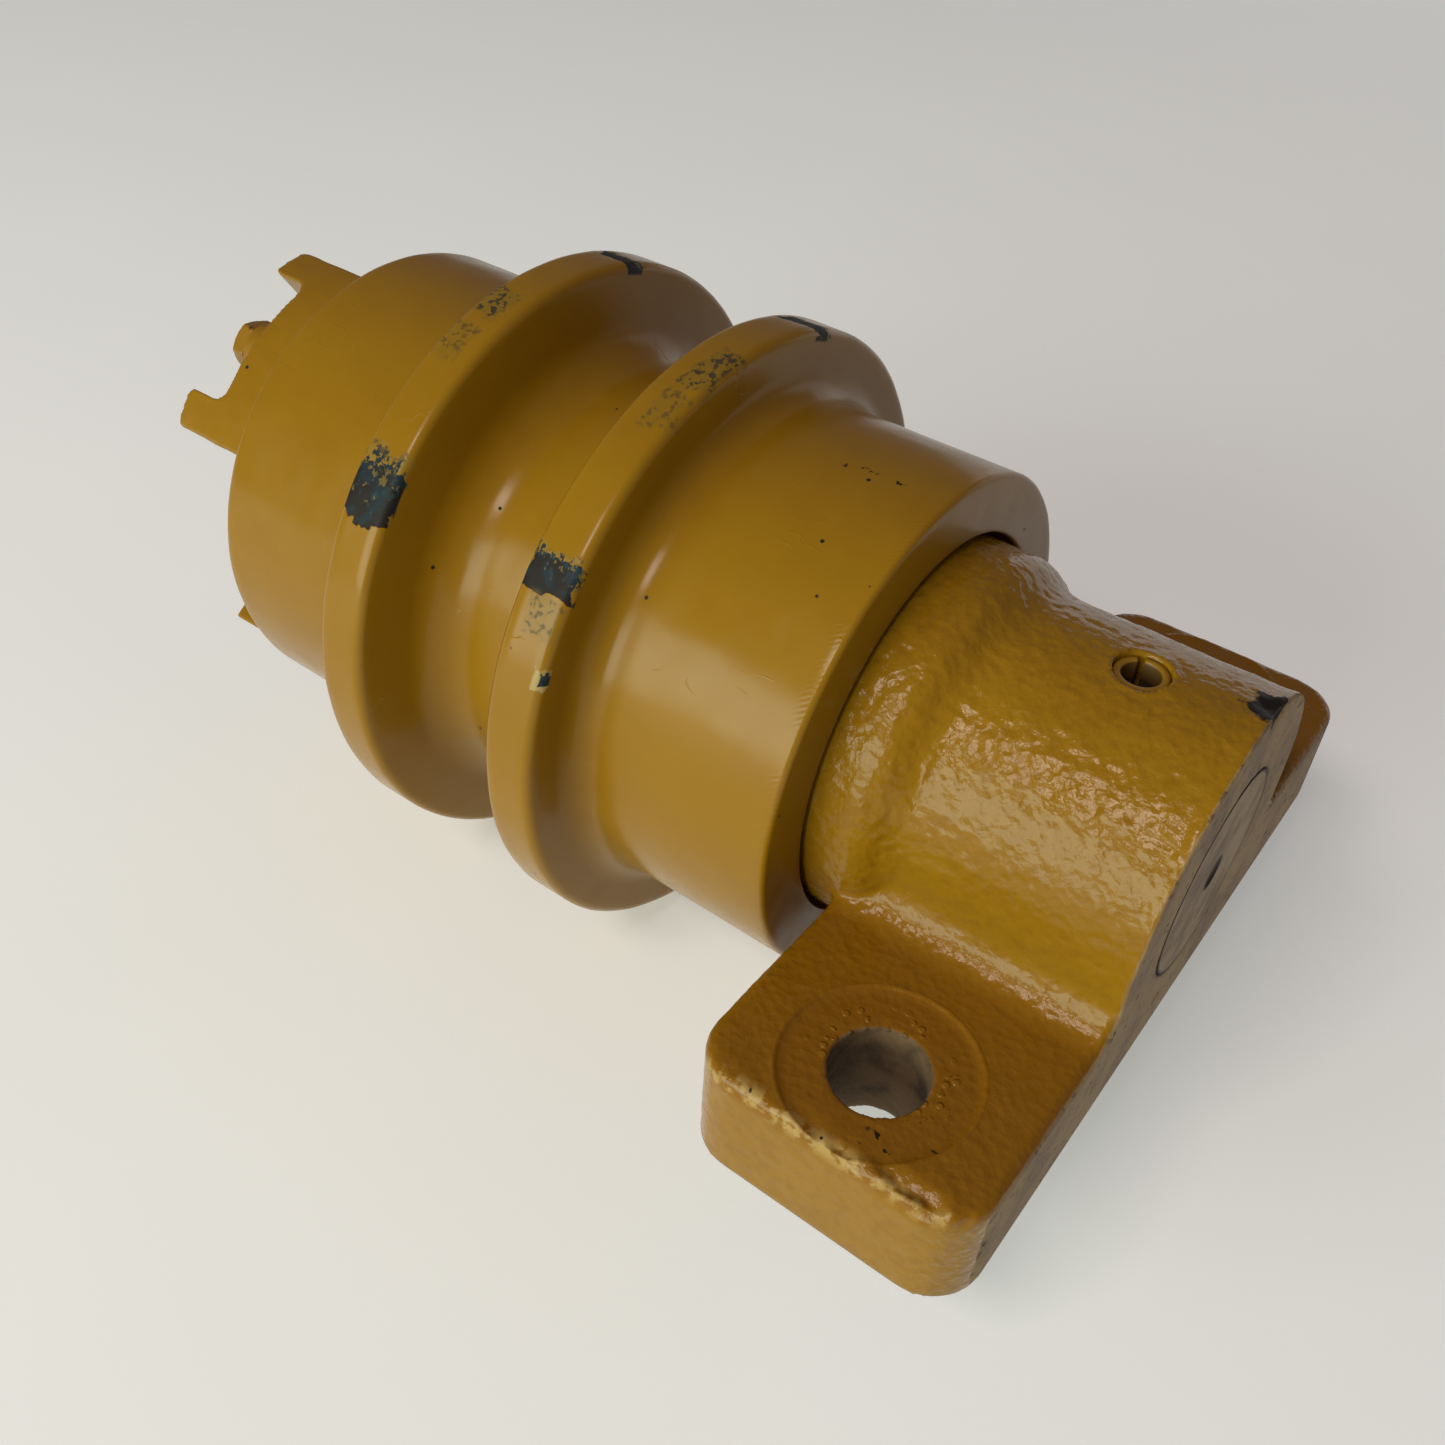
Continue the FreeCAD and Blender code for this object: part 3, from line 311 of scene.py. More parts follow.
def skin(node, name, square, start=None):
    """A copy of a CAD node with its points joined, rebuilt as an even net of squares, drawn back onto
    the CAD surface and then relaxed, so that its edges are a little round, as they are under paint.
    With start, only the part beyond that distance along the roller is kept, and closed there."""
    form = bmesh.new()
    form.from_mesh(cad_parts[node].data)
    bmesh.ops.remove_doubles(form, verts=form.verts, dist=1e-6)
    if start is not None:
        everything = form.verts[:] + form.edges[:] + form.faces[:]
        bmesh.ops.bisect_plane(
            form, geom=everything, plane_co=(0, start, 0), plane_no=(0, -1, 0), clear_outer=True)
        rim = [edge for edge in form.edges if edge.is_boundary]
        bmesh.ops.triangle_fill(form, edges=rim, use_beauty=True, normal=(0, -1, 0))
        bmesh.ops.recalc_face_normals(form, faces=form.faces)
    joined = bpy.data.meshes.new(name)
    form.to_mesh(joined)
    form.free()
    target = bpy.data.objects.new(name + "_target", joined)
    piece = bpy.data.objects.new(name, joined.copy())
    for made in (target, piece):
        bpy.context.scene.collection.objects.link(made)
    net = piece.modifiers.new("net", "REMESH")
    net.mode = "VOXEL"
    net.voxel_size = square
    onto = piece.modifiers.new("onto", "SHRINKWRAP")
    onto.target = target
    ease = piece.modifiers.new("ease", "SMOOTH")
    ease.factor = 0.5
    ease.iterations = 2
    bpy.context.view_layer.update()
    seen = piece.evaluated_get(bpy.context.evaluated_depsgraph_get())
    finished = bpy.data.meshes.new_from_object(seen)
    piece.modifiers.clear()
    piece.data = finished
    bpy.data.objects.remove(target)
    finished.shade_smooth()
    finished.name = name
    return piece


def ochre_paint(name, peel, peel_size, rough, gloss):
    """Ochre enamel: a little cloudy in colour and sheen, over a surface dimpled by peel millimetres."""
    paint = Finish(name, OCHRE, rough, gloss=gloss)
    paint.lay(paint.grain(30.0, 3.0, 1.0).rise(0.35, 0.8) * 0.35, OCHRE_DEEP)
    paint.lay(paint.grain(8.0, 4.0, 2.0).rise(0.55, 0.85) * 0.25, OCHRE_PALE)
    paint.lay(paint.grain(10.0, 4.0, 3.0).rise(0.3, 0.8), rough=rough + 0.08)
    paint.height = paint.grain(peel_size, 3.0, 4.0) * peel + paint.grain(14.0, 1.0, 5.0) * 0.2
    return paint


def reach(finish, first, second):
    """The length of a flat step made of two amounts, such as the distance from an axis."""
    place = finish.node("ShaderNodeCombineXYZ", inputs={0: first, 1: second})
    return finish.node("ShaderNodeVectorMath", {"operation": "LENGTH"}, {0: place}, "Value")


cast = ochre_paint("ochre_paint_cast", 0.24, 1.8, 0.14, 0.26)
cast.height = cast.height + cast.cells(2.2, 40.0) * 0.15
cast.height = cast.height * (1 - abs(cast.x).rise(103.5, 105.0) * 0.75)
from_bolt = reach(cast, abs(cast.x) - BOLT_X, cast.y)
from_axis = reach(cast, cast.x, cast.z - AXIS_MM)
on_spot = from_bolt.rise(SPOT_R + 0.1, SPOT_R - 0.6) * cast.z.rise(*EAR_MILLED)
# painted shade: the ear tops are laid browner, as shade from above, and the milled spot faces a little browner
# still
ear_top_shade = cast.z.rise(24.0, 29.0) * cast.z.rise(38.0, 31.0) * abs(cast.x).rise(40.0, 52.0)
cast.lay(ear_top_shade * 0.65, EAR_TOP_SHADE)
cast.lay(on_spot * 0.25, SPOT_BROWN)
# brown grime in the hollows of the pebbled skin
hollows = cast.grain(3.0, 2.0, 7.0).rise(0.50, 0.36) * (1 - on_spot)
cast.lay(hollows * 0.30, OCHRE_DEEP)
# blisters by the near hole, and a few chips down to black
blisters = cast.cells(2.6, 2.0).rise(0.42, 0.22) * cast.grain(7.0, 1.0, 3.0).rise(0.46, 0.52) * on_spot
blisters = blisters * from_bolt.rise(18.5, 15.0) * abs(cast.x).rise(89.0, 84.0)
cast.height = cast.height + blisters * 0.32
cast.lay(blisters * 0.25, OCHRE_PALE)
chips = cast.grain(3.0, 4.0, 12.0).rise(0.62, 0.65) * cast.x.rise(-84.0, -90.0) * cast.y.rise(-2.0, -8.0)
cast.lay(chips * on_spot, PRIMER, 0.5)
# the step round the spot face holds a bright bead of paint
bead = abs(from_bolt - SPOT_R).rise(0.9, 0.1) * cast.z.rise(*EAR_MILLED)
cast.height = cast.height + bead * 0.14
# the bolt holes' walls were masked from the paint
wall = from_bolt.rise(HOLE_R + 0.2, HOLE_R - 0.2) * cast.z.rise(29.4, 28.9)
cast.lay(wall, WALL_RUST, 0.8, 0.0)
cast.lay(wall * cast.grain(9.0, 4.0, 6.0).rise(0.45, 0.7), WALL_SHADE, 0.8, 0.0)
# pale lumps of flash and handling chips along the ear's outer top edges
edge = cast.x.rise(-100.5, -103.5) * cast.z.rise(25.0, 28.0)
cast.lay(edge * cast.grain(3.4, 4.0, 13.0).rise(0.44, 0.56) * 0.75, FLASH_PALE, 0.35)
cast.lay(edge * cast.grain(2.2, 4.0, 14.0).rise(0.68, 0.72), PRIMER, 0.5)
# a knock on the hub's top edge, through the paint to black scale
knock = reach(cast, reach(cast, cast.x - KNOCK_X, cast.y + 34.6), cast.z - KNOCK_Z)
knock = (knock + (cast.grain(3.0, 4.0, 15.0) - 0.5) * 9.0).rise(7.4, 6.6)
cast.lay(knock, PRIMER, 0.55)
# the end face is bare machined steel, stained brown and flecked dark, with paint flaked off its edge,
# a dark joint round the shaft, and the arcs that the milling cutter left
flaked = cast.y + (cast.grain(3.0, 5.0, 16.0) - 0.5) * 1.1
end_face = flaked.rise(-34.3, -34.5)
cast.lay(end_face, BARE, 0.7, 0.0)
cast.lay(end_face * cast.grain(15.0, 5.0, 8.0).rise(0.42, 0.66) * 0.75, END_STAIN, 0.6, 0.05)
cast.lay(end_face * cast.grain(1.9, 5.0, 17.0).rise(0.56, 0.66) * 0.75, END_GRIT, 0.7, 0.0)
cast.lay(end_face * cast.grain(6.0, 6.0, 20.0).rise(0.66, 0.69), END_PITS, 0.7, 0.0)
cast.lay(end_face * from_axis.rise(27.2, 26.4), JOINT_DARK, 0.7, 0.0)
cutter = reach(cast, cast.x - 40.0, cast.z + 90.0) * 4.0
cast.height = cast.height + end_face * (cast.grain(0.9, 3.0, 18.0) * 0.05 + cutter.work("SINE", cutter) * 0.008)
# the foot's underside is worn to bare steel
cast.lay(cast.z.rise(1.0, 0.1), FOOT_WORN, 0.5, 0.4)

bracket = skin("bracket", "bracket_skin", BRACKET_SQUARE)
spots = points_of(bracket.data)[0]
x, y, z = (spots * 1000).T
radius = np.hypot(x, z - AXIS_MM)
bolt_gap = np.hypot(np.abs(x) - BOLT_X, y)
# the pebbled skin keeps off the end face, the underside, the spot faces, the hub's inside and inner
# end, and the mouth of the pin hole
sand = ramp(y, -34.0, -31.0) * ramp(z, 0.1, 1.5) * ramp(bolt_gap, 22.3, 23.5) * ramp(radius, 40.0, 42.0)
sand *= 1 - ramp(y, 45.5, 46.5)
sand *= np.maximum(ramp(np.hypot(x, y + 6.4), 7.0, 8.5), z < 60)
pebble = 0.5 + 0.5 * lumps(spots, 2.0, 11)
fine = 0.5 + 0.5 * lumps(spots, 1.4, 12)
swell = 0.5 + 0.5 * lumps(spots, 13.0, 13)
# it is rougher on the hub than on the foot
hub_side = ramp(z, 29.0, 36.0)
depth = sand * ((0.16 + 0.20 * hub_side) * pebble + (0.08 + 0.14 * hub_side) * fine + 0.20 * swell)
# lumps of flash along the ear's outer top edge, then the knock, a pit low on the end face, and a
# chamfer that sets the shaft's joint back
flash = ramp(-x, 98.5, 102.5) * ramp(z, 25.5, 28.5) * ramp(-y, -22.0, 5.0)
flash *= ramp(lumps(spots, 4.2, 14) + 0.5 * lumps(spots, 2.1, 15), -0.5, 0.6)
depth += flash * (1.1 + 0.8 * ramp(-y, 10.0, 24.0))
knock_gap = np.hypot(np.hypot(x - KNOCK_X, y + 35.0), z - KNOCK_Z) + 1.5 * lumps(spots, 2.5, 16)
depth += 1.3 * (1 - ramp(knock_gap, 2.0, 6.0))
pit_gap = np.hypot(np.hypot(x + 12.0, y + 35.0), z - 12.0) + 0.8 * lumps(spots, 1.5, 17)
depth += 0.9 * (1 - ramp(pit_gap, 0.8, 2.2))
depth += 0.35 * (1 - ramp(radius, 26.0, 27.0)) * (1 - ramp(y, -34.9, -34.0))
sink(bracket, depth)
bracket.data.materials.clear()
bracket.data.materials.append(cast.done())
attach(bracket, "bracket")
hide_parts("bracket")

# --- The shaft --------------------------------------------------------------
# Turned and ground steel, pressed into the hub. Only its outer end shows,
# flush with the bare end face, with a centre-drilled hole in the middle.
SHAFT_BARE, SHAFT_STAIN, SHAFT_GRIT = (0.31, 0.215, 0.115), (0.13, 0.075, 0.036), (0.10, 0.07, 0.045)
CENTRE_DARK = (0.03, 0.02, 0.015)


def dress(nodes, material):
    """Gives one material to CAD nodes that show just as they are."""
    for node in nodes:
        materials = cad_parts[node].data.materials
        materials.clear()
        materials.append(material)


steel = Finish("turned_steel", SHAFT_BARE, 0.65, 0.1)
out = reach(steel, steel.x, steel.z - AXIS_MM)
on_end = steel.y.rise(-34.0, -34.6)
steel.lay(steel.grain(14.0, 5.0, 1.0).rise(0.42, 0.62) * 0.8, SHAFT_STAIN, 0.7, 0.05)
steel.lay(steel.grain(1.6, 3.0, 2.0).rise(0.60, 0.70) * 0.6, SHAFT_GRIT, 0.6, 0.1)
steel.lay(on_end * out.rise(5.4, 4.3), CENTRE_DARK, 0.6, 0.0)
steel.lay(on_end * out.rise(25.0, 25.7), JOINT_DARK, 0.7, 0.0)
steel.height = (out * 6.0).work("SINE", out * 6.0) * 0.012 * on_end + steel.grain(1.2, 3.0, 3.0) * 0.05
dress(["shaft"], steel.done())

# --- The spring pin ---------------------------------------------------------
# A tube rolled from spring steel, with a slot down one side. It was driven
# down through the hub and the shaft and then painted over.
PIN_R, PIN_WALL, PIN_LIP = 6.45, 2.15, 0.5
PIN_SLOT = math.radians(18)
PIN_TURN = math.radians(25)
PIN_STEPS = 65
# PIN_DARK is painted shade for the pin's bore, and colours the pin's hidden length inside the hub
PIN_DARK = (0.035, 0.022, 0.012)


def net(name, grid, close_first=True, close_second=True):
    """A mesh of squares over a grid of points, closed on itself in the first or second direction."""
    rows, columns = grid.shape[:2]
    numbers = np.arange(rows * columns).reshape(rows, columns)
    if close_first:
        numbers = np.vstack([numbers, numbers[:1]])
    if close_second:
        numbers = np.hstack([numbers, numbers[:, :1]])
    squares = np.stack([numbers[:-1, :-1], numbers[1:, :-1], numbers[1:, 1:], numbers[:-1, 1:]], -1)
    mesh = bpy.data.meshes.new(name)
    mesh.from_pydata(grid.reshape(-1, 3).tolist(), [], squares.reshape(-1, 4).tolist())
    form = bmesh.new()
    form.from_mesh(mesh)
    bmesh.ops.remove_doubles(form, verts=form.verts, dist=1e-6)
    bmesh.ops.recalc_face_normals(form, faces=form.faces)
    form.to_mesh(mesh)
    form.free()
    mesh.shade_smooth()
    piece = bpy.data.objects.new(name, mesh)
    bpy.context.scene.collection.objects.link(piece)
    return piece


def capped_net(name, grid):
    """A tube of squares over loops of points, with its two end loops closed by strips between their
    two halves, as on a C shape whose outer half comes first and then its inner half, backwards."""
    piece = net(name, grid, False, True)
    half = grid.shape[1] // 2
    number = np.arange(half - 1)
    strips = []
    form = bmesh.new()
    form.from_mesh(piece.data)
    form.verts.ensure_lookup_table()
    for base in (0, (grid.shape[0] - 1) * grid.shape[1]):
        strips.append(base + np.stack([number, number + 1, 2 * half - 2 - number, 2 * half - 1 - number], -1))
    for strip in np.vstack(strips).tolist():
        form.faces.new([form.verts[i] for i in strip])
    bmesh.ops.recalc_face_normals(form, faces=form.faces)
    form.to_mesh(piece.data)
    form.free()
    piece.data.shade_smooth()
    return piece


low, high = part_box("spring_pin")
turn = np.linspace(PIN_SLOT / 2, 2 * np.pi - PIN_SLOT / 2, PIN_STEPS) + PIN_TURN
levels = np.concatenate([
    [low.z, low.z + MM / 2], np.linspace(low.z + MM, high.z - MM, 24), [high.z - MM / 2, high.z]])
lip = np.zeros(len(levels))
lip[[0, -1]] = PIN_LIP
lip[[1, -2]] = PIN_LIP * 0.3
loop_angle = np.concatenate([turn, turn[::-1]])
loop_side = np.concatenate([np.ones(PIN_STEPS), -np.ones(PIN_STEPS)])
loop_r = PIN_R - PIN_WALL / 2 + loop_side * (PIN_WALL / 2 - lip[:, None])
centre = (low + high) / 2
pin_grid = np.stack([
    centre.x + MM * loop_r * np.cos(loop_angle), centre.y + MM * loop_r * np.sin(loop_angle),
    levels[:, None] + 0 * loop_r], -1)
pin = capped_net("spring_pin_rolled", pin_grid)
sprung = ochre_paint("ochre_paint_pin", 0.05, 1.2, 0.3, 0.4)
down = sprung.z.rise(85.0, 83.0)
bore = reach(sprung, sprung.x - centre.x * 1000, sprung.y - centre.y * 1000).rise(4.6, 4.4)
# painted shade: the bore is laid near black down the hole, and so is the pin below its painted top, inside the
# hub
sprung.lay(bore.work("MAXIMUM", bore * 0.75, down), PIN_DARK, 0.6)
pin.data.materials.append(sprung.done())
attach(pin, "bracket")
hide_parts("spring_pin")

# --- The roller shell -------------------------------------------------------
# A forged and turned shell: two treads, two central flanges and a deep groove.
# It is sprayed after assembly, and handling has rubbed the flange rims bare.
SHELL_NET = 1.85
SHELL_STEPS = 296
HORN_SQUARE, HORN_START, HORN_SEAT, HORN_NECK = 0.0008, 0.22455, 0.2240, 0.0634
TREAD, RIM, BOTTOM = 66.3, 82.75, 58.5
SPECK_BLACK = (0.012, 0.010, 0.008)
# the pale colour is a painted highlight round the rim of the smallest chip
CHIP_EDGE_HIGHLIGHT = (0.40, 0.32, 0.13)
RUBBED_BROWN, FLECK_BROWN, WORN_BROWN = (0.215, 0.155, 0.026), (0.15, 0.105, 0.020), (0.165, 0.118, 0.018)
PETROL_PALE = (0.012, 0.036, 0.048)
# Each bare patch has a place along, a half width, an angle from the top, a half span and a
# raggedness; each rubbed patch has a strength in place of the last.
BARE_PATCHES = (
    (160.6, 8.4, -52.7, 4.9, 0.60), (105.3, 7.4, -51.5, 2.9, 0.60),
    (158.5, 8.0, 15.6, 1.8, 1.0), (103.0, 6.0, 18.6, 2.0, 1.0), (97.9, 1.2, -66.8, 0.9, 0.5))
RUBBED_PATCHES = (
    (164.0, 5.5, -13.0, 4.0, 0.8), (163.5, 5.0, -23.5, 4.0, 0.45), (102.0, 4.5, -8.0, 6.5, 0.75),
    (102.5, 4.5, -20.0, 5.0, 0.45), (103.0, 5.0, -58.0, 3.4, 0.55))


def rounded(corners, spacing):
    """Straight runs through the corners (along, out, radius), each corner replaced by an arc that
    touches both runs, and all of it sampled about spacing apart. The run closes on itself."""
    spots = np.array([c[:2] for c in corners], float)
    radii = np.array([c[2] for c in corners], float)
    before = np.roll(spots, 1, 0) - spots
    after = np.roll(spots, -1, 0) - spots
    before /= np.linalg.norm(before, axis=1)[:, None]
    after /= np.linalg.norm(after, axis=1)[:, None]
    half = np.arccos(np.clip((before * after).sum(1), -1, 1)) / 2
    run_in = radii / np.tan(half)
    middle = before + after
    middle /= np.linalg.norm(middle, axis=1)[:, None]
    centre = spots + middle * (radii / np.sin(half))[:, None]
    line = []
    for i, spot in enumerate(spots):
        first, last = spot + before[i] * run_in[i], spot + after[i] * run_in[i]
        count = max(3, int(np.ceil(radii[i] * (np.pi - 2 * half[i]) / spacing)))
        way = np.linspace(0, 1, count + 1)[:, None]
        chord = (first - centre[i]) * (1 - way) + (last - centre[i]) * way
        line.append(centre[i] + chord / np.linalg.norm(chord, axis=1)[:, None] * radii[i])
        following = (i + 1) % len(spots)
        end = spots[following] + before[following] * run_in[following]
        count = max(1, int(np.ceil(np.linalg.norm(end - last) / spacing)))
        line.append(last + (end - last) * np.arange(1, count)[:, None] / count)
    return np.vstack(line)


def turned(name, profile, steps):
    """Carries a profile of (along, out) points in millimetres round the roller's axis."""
    turn = np.linspace(0, 2 * np.pi, steps, endpoint=False)[:, None]
    along, out = profile.T[:, None]
    grid = np.stack([out * np.sin(turn), along + 0 * turn, out * np.cos(turn) + AXIS_MM], -1)
    return net(name, grid * MM)


shell_profile = rounded([
    (43.0, 51.5, 0.5), (43.0, TREAD, 1.5), (98.0, TREAD, 7.0), (98.0, RIM, 2.4), (112.15, RIM, 2.4),
    (115.99, BOTTOM, 12.0), (150.01, BOTTOM, 12.0), (153.85, RIM, 2.4), (168.0, RIM, 2.4), (168.0, TREAD, 7.0),
    (224.5, TREAD, 2.2), (224.5, 47.0, 0.3), (214.0, 47.0, 0.3), (214.0, 44.0, 0.3), (204.0, 44.0, 0.3),
    (204.0, 27.0, 0.3), (167.0, 27.0, 0.3), (167.0, 37.0, 0.3), (104.4, 37.0, 0.3), (104.4, 31.0, 0.3),
    (67.4, 31.0, 0.3), (67.4, 44.4, 0.3), (52.0, 44.4, 0.3), (52.0, 51.5, 0.3),
], SHELL_NET)
shell = turned("shell_skin", shell_profile, SHELL_STEPS)
spots = points_of(shell.data)[0]
radius = np.hypot(spots[:, 0], spots[:, 2] - AXIS_Z) * 1000
outside = ramp(radius, 52.0, 54.0)
sink(shell, outside * (0.10 * (1 + lumps(spots, 16.0, 21)) + 0.05 * (1 + lumps(spots, 5.0, 22))))

# the castellated ring past the turned part; its root is drawn into the turned part's end
horns = skin("roller_shell", "horn_ring", HORN_SQUARE, HORN_START)
spots = points_of(horns.data)[0]
sink(horns, 0.12 * (1 + lumps(spots, 5.0, 23)) + 0.05 * (1 + lumps(spots, 2.5, 24)))
spots = points_of(horns.data)[0]
root = spots[:, 1] < HORN_START + 0.00025
centred = spots - (0, 0, AXIS_Z)
pull = np.minimum(1, HORN_NECK / np.hypot(centred[:, 0], centred[:, 2]))
sunk = np.stack([centred[:, 0] * pull, HORN_SEAT + 0 * pull, centred[:, 2] * pull + AXIS_Z], -1)
horns.data.vertices.foreach_set("co", np.where(root[:, None], sunk, spots).ravel())
horns.data.update()

paint = ochre_paint("ochre_paint_roller", 0.022, 2.4, 0.20, 0.26)
out = reach(paint, paint.x, paint.z - AXIS_MM)
angle = paint.x.work("ARCTAN2", paint.x, paint.z - AXIS_MM) * (180 / math.pi)


def patch(along, wide, round_at, span, ragged, size, seed):
    """How far inside a ragged patch round a spot on the roller, from below 0 outside to 1 in the
    middle. It takes the spot's place along the axis and its half width in millimetres, and its
    angle from the top and its half span in degrees."""
    sideways = abs(paint.y - along) / wide
    far = sideways.work("MAXIMUM", sideways, abs(angle - round_at) / span)
    return 1 - far - (paint.grain(size, 6.0, seed) - 0.5) * ragged * 3


on_rim = out.rise(79.5, 80.5)
# painted highlight: a pale ring round the smallest chip, where the edge of the paint catches the light
chip_edge_highlight = patch(98.2, 2.8, -66.8, 2.0, 0.6, 2.4, 7.0).rise(0.0, 0.25) * on_rim
paint.lay(chip_edge_highlight * 0.8, CHIP_EDGE_HIGHLIGHT)
lathe_rings = (paint.y * 8.0).work("SINE", paint.y * 8.0)
for along, wide, round_at, span, ragged in BARE_PATCHES:
    inside = patch(along, wide, round_at, span, ragged, 4.6, along)
    bare = inside.rise(0.0, 0.04) * on_rim
    upward = (angle - round_at) / span
    fleck = paint.grain(1.5, 8.0, along + 3) + lathe_rings * (0.035 if span < 4 else 0.012)
    scratched = patch(along, wide, round_at + span * 0.75, span * 0.9, 0.8, 6.0, along + 2)
    rubbed = scratched.rise(0.0, 0.35) * on_rim * (1 - bare)
    paint.lay(rubbed * 0.5, RUBBED_BROWN, 0.5)
    paint.lay(rubbed * (fleck + scratched * 0.05).rise(0.535, 0.575), PETROL, 0.6)
    paint.lay(bare, PRIMER, 0.6)
    blue = (paint.grain(4.0, 8.0, along + 4) + upward * 0.10).rise(0.46, 0.56)
    paint.lay(bare * blue, PETROL, 0.6)
    pale_blue = (paint.grain(2.6, 8.0, along + 6) + upward * 0.06).rise(0.56, 0.62)
    paint.lay(bare * pale_blue * 0.8, PETROL_PALE, 0.6)
    paint.lay(bare * (fleck + upward * 0.09).rise(0.625, 0.66) * 0.8, FLECK_BROWN, 0.5)
    paint.height = paint.height - bare * 0.14 - bare * fleck * 0.10
for along, wide, round_at, span, strength in RUBBED_PATCHES:
    rub = patch(along, wide, round_at, span, 0.6, 8.0, along + round_at).rise(0.0, 0.35) * on_rim
    fleck = paint.grain(1.4, 8.0, along + 5) + lathe_rings * 0.015
    paint.lay(rub * strength * 0.6, WORN_BROWN, 0.28)
    paint.lay(rub * (fleck + 0.03 * strength).rise(0.545, 0.59) * strength, PETROL, 0.5)
# stray black specks, and a cluster of pinholes on the near tread
speckle = paint.cells(12.0, 3.0).rise(0.052, 0.038)
paint.lay(speckle, SPECK_BLACK, 0.6)
cluster = patch(62.0, 9.0, -3.2, 1.6, 0.3, 6.0, 5.0).rise(0.0, 0.2)
pinholes = paint.grain(1.7, 4.0, 4.0).rise(0.60, 0.64) * cluster
paint.lay(pinholes, SPECK_BLACK, 0.6)
# runs in the paint: thin raised threads on the near tread and in the groove
runs = abs(paint.grain(9.0, 3.0, 31.0, (1.0, 0.5, 1.0)) - 0.5).rise(0.010, 0.0)
runs = runs * paint.grain(14.0, 2.0, 32.0).rise(0.60, 0.66)
paint.height = paint.height + runs * 0.05
# tool ripple left by the last cut beside the near end
ripple = (angle * 5.0 + paint.y * 3.0).work("SINE", angle * 5.0 + paint.y * 3.0)
near_end = paint.y.rise(48.0, 44.5) * paint.grain(12.0, 2.0, 33.0).rise(0.42, 0.58) * out.rise(64.0, 65.5)
paint.height = paint.height + ripple * near_end * 0.02
shell_paint = paint.done()
for piece in (shell, horns):
    piece.data.materials.clear()
    piece.data.materials.append(shell_paint)
    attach(piece, "roller")
    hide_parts("roller_shell")

# --- The end cover, its lock washers and the oil plug -----------------------
# A turned steel plug with three ears, which closes the roller's far end. The
# oil plug in its dish, the spring washers and the cover are sprayed together.
CORNER_BROWN = (0.060, 0.028, 0.004)
cover_paint = ochre_paint("ochre_paint_cover", 0.05, 1.6, 0.26, 0.32)
out = reach(cover_paint, cover_paint.x, cover_paint.z - AXIS_MM)
grime = cover_paint.grain(11.0, 5.0, 6.0).rise(0.48, 0.74) * out.rise(40.0, 36.0)
cover_paint.lay(grime * 0.6, OCHRE_DEEP, 0.42)
corner = abs(out - 37.0).rise(2.6, 0.2) * cover_paint.y.rise(236.0, 234.0)
cover_paint.lay(corner * cover_paint.grain(5.0, 5.0, 7.0).rise(0.36, 0.62) * 0.7, CORNER_BROWN, 0.6)
cover_paint.lay(cover_paint.cells(11.0, 8.0).rise(0.070, 0.050), PRIMER, 0.6)
cover_paint.lay(cover_paint.grain(2.4, 6.0, 9.0).rise(0.68, 0.71) * out.rise(44.0, 46.0), PRIMER, 0.6)
cover_paint.height = cover_paint.height + (out * 4.0).work("SINE", out * 4.0) * 0.012 * out.rise(39.0, 38.0)
socket = out.rise(6.2, 5.6) * cover_paint.y.rise(239.0, 238.2)
cover_paint.lay(socket * 0.85, PRIMER, 0.6)
dress(["end_cover", "cover_lock_washers", "fill_plug"], cover_paint.done())

# --- The cover bolts --------------------------------------------------------
# Three M8 hexagon screws, which hold the end cover's ears in the notches of
# the castellated end. They are painted over with the roller.
HEX_FLAT, HEX_TALL, SHANK_R, SHANK_LONG = 6.5, 5.3, 3.95, 24.0
BOLT_CIRCLE, HEAD_SEAT, BOLT_STEPS = 54.5, 241.5, 96
# where each bolt is round the roller, and how far its own head is turned, in degrees
BOLT_TURNS, HEAD_TWISTS = (-33.5, 86.5, -153.5), (12.0, 40.0, 25.0)


def hexagon_bolt():
    """A bolt on its own axis, as points (round, row). Each row has a height, a radius, and 1 where the
    hexagon cuts the radius down to flat / cos of the angle from the flat's middle."""
    rows = np.array([
        (-SHANK_LONG, 0.01, 0), (-SHANK_LONG, SHANK_R - 0.8, 0), (-SHANK_LONG + 0.8, SHANK_R, 0),
        (-0.6, SHANK_R, 0), (-0.1, SHANK_R + 0.2, 0), (0.0, SHANK_R + 0.5, 0),
        (0.0, 6.1, 0), (0.15, 6.25, 0), (0.3, 6.25, 0),
        (0.31, 6.5, 1), (0.6, 7.4, 1), (0.9, 7.7, 1), (2.0, 7.7, 1),
        (3.4, 7.7, 1), (4.2, 7.6, 1), (4.6, 7.15, 1), (5.0, 6.6, 1),
        (HEX_TALL - 0.08, 6.15, 0), (HEX_TALL, 5.9, 0), (HEX_TALL - 0.05, 4.0, 0), (HEX_TALL - 0.05, 0.01, 0)])
    turn = np.linspace(0, 2 * np.pi, BOLT_STEPS, endpoint=False)[:, None]
    flat = HEX_FLAT / np.cos((turn + np.pi / 6) % (np.pi / 3) - np.pi / 6)
    tall, limit, hexed = rows.T[:, None]
    out = np.where(hexed > 0, np.minimum(flat, limit), limit)
    return np.stack([out * np.sin(turn), tall + 0 * turn, out * np.cos(turn)], -1)


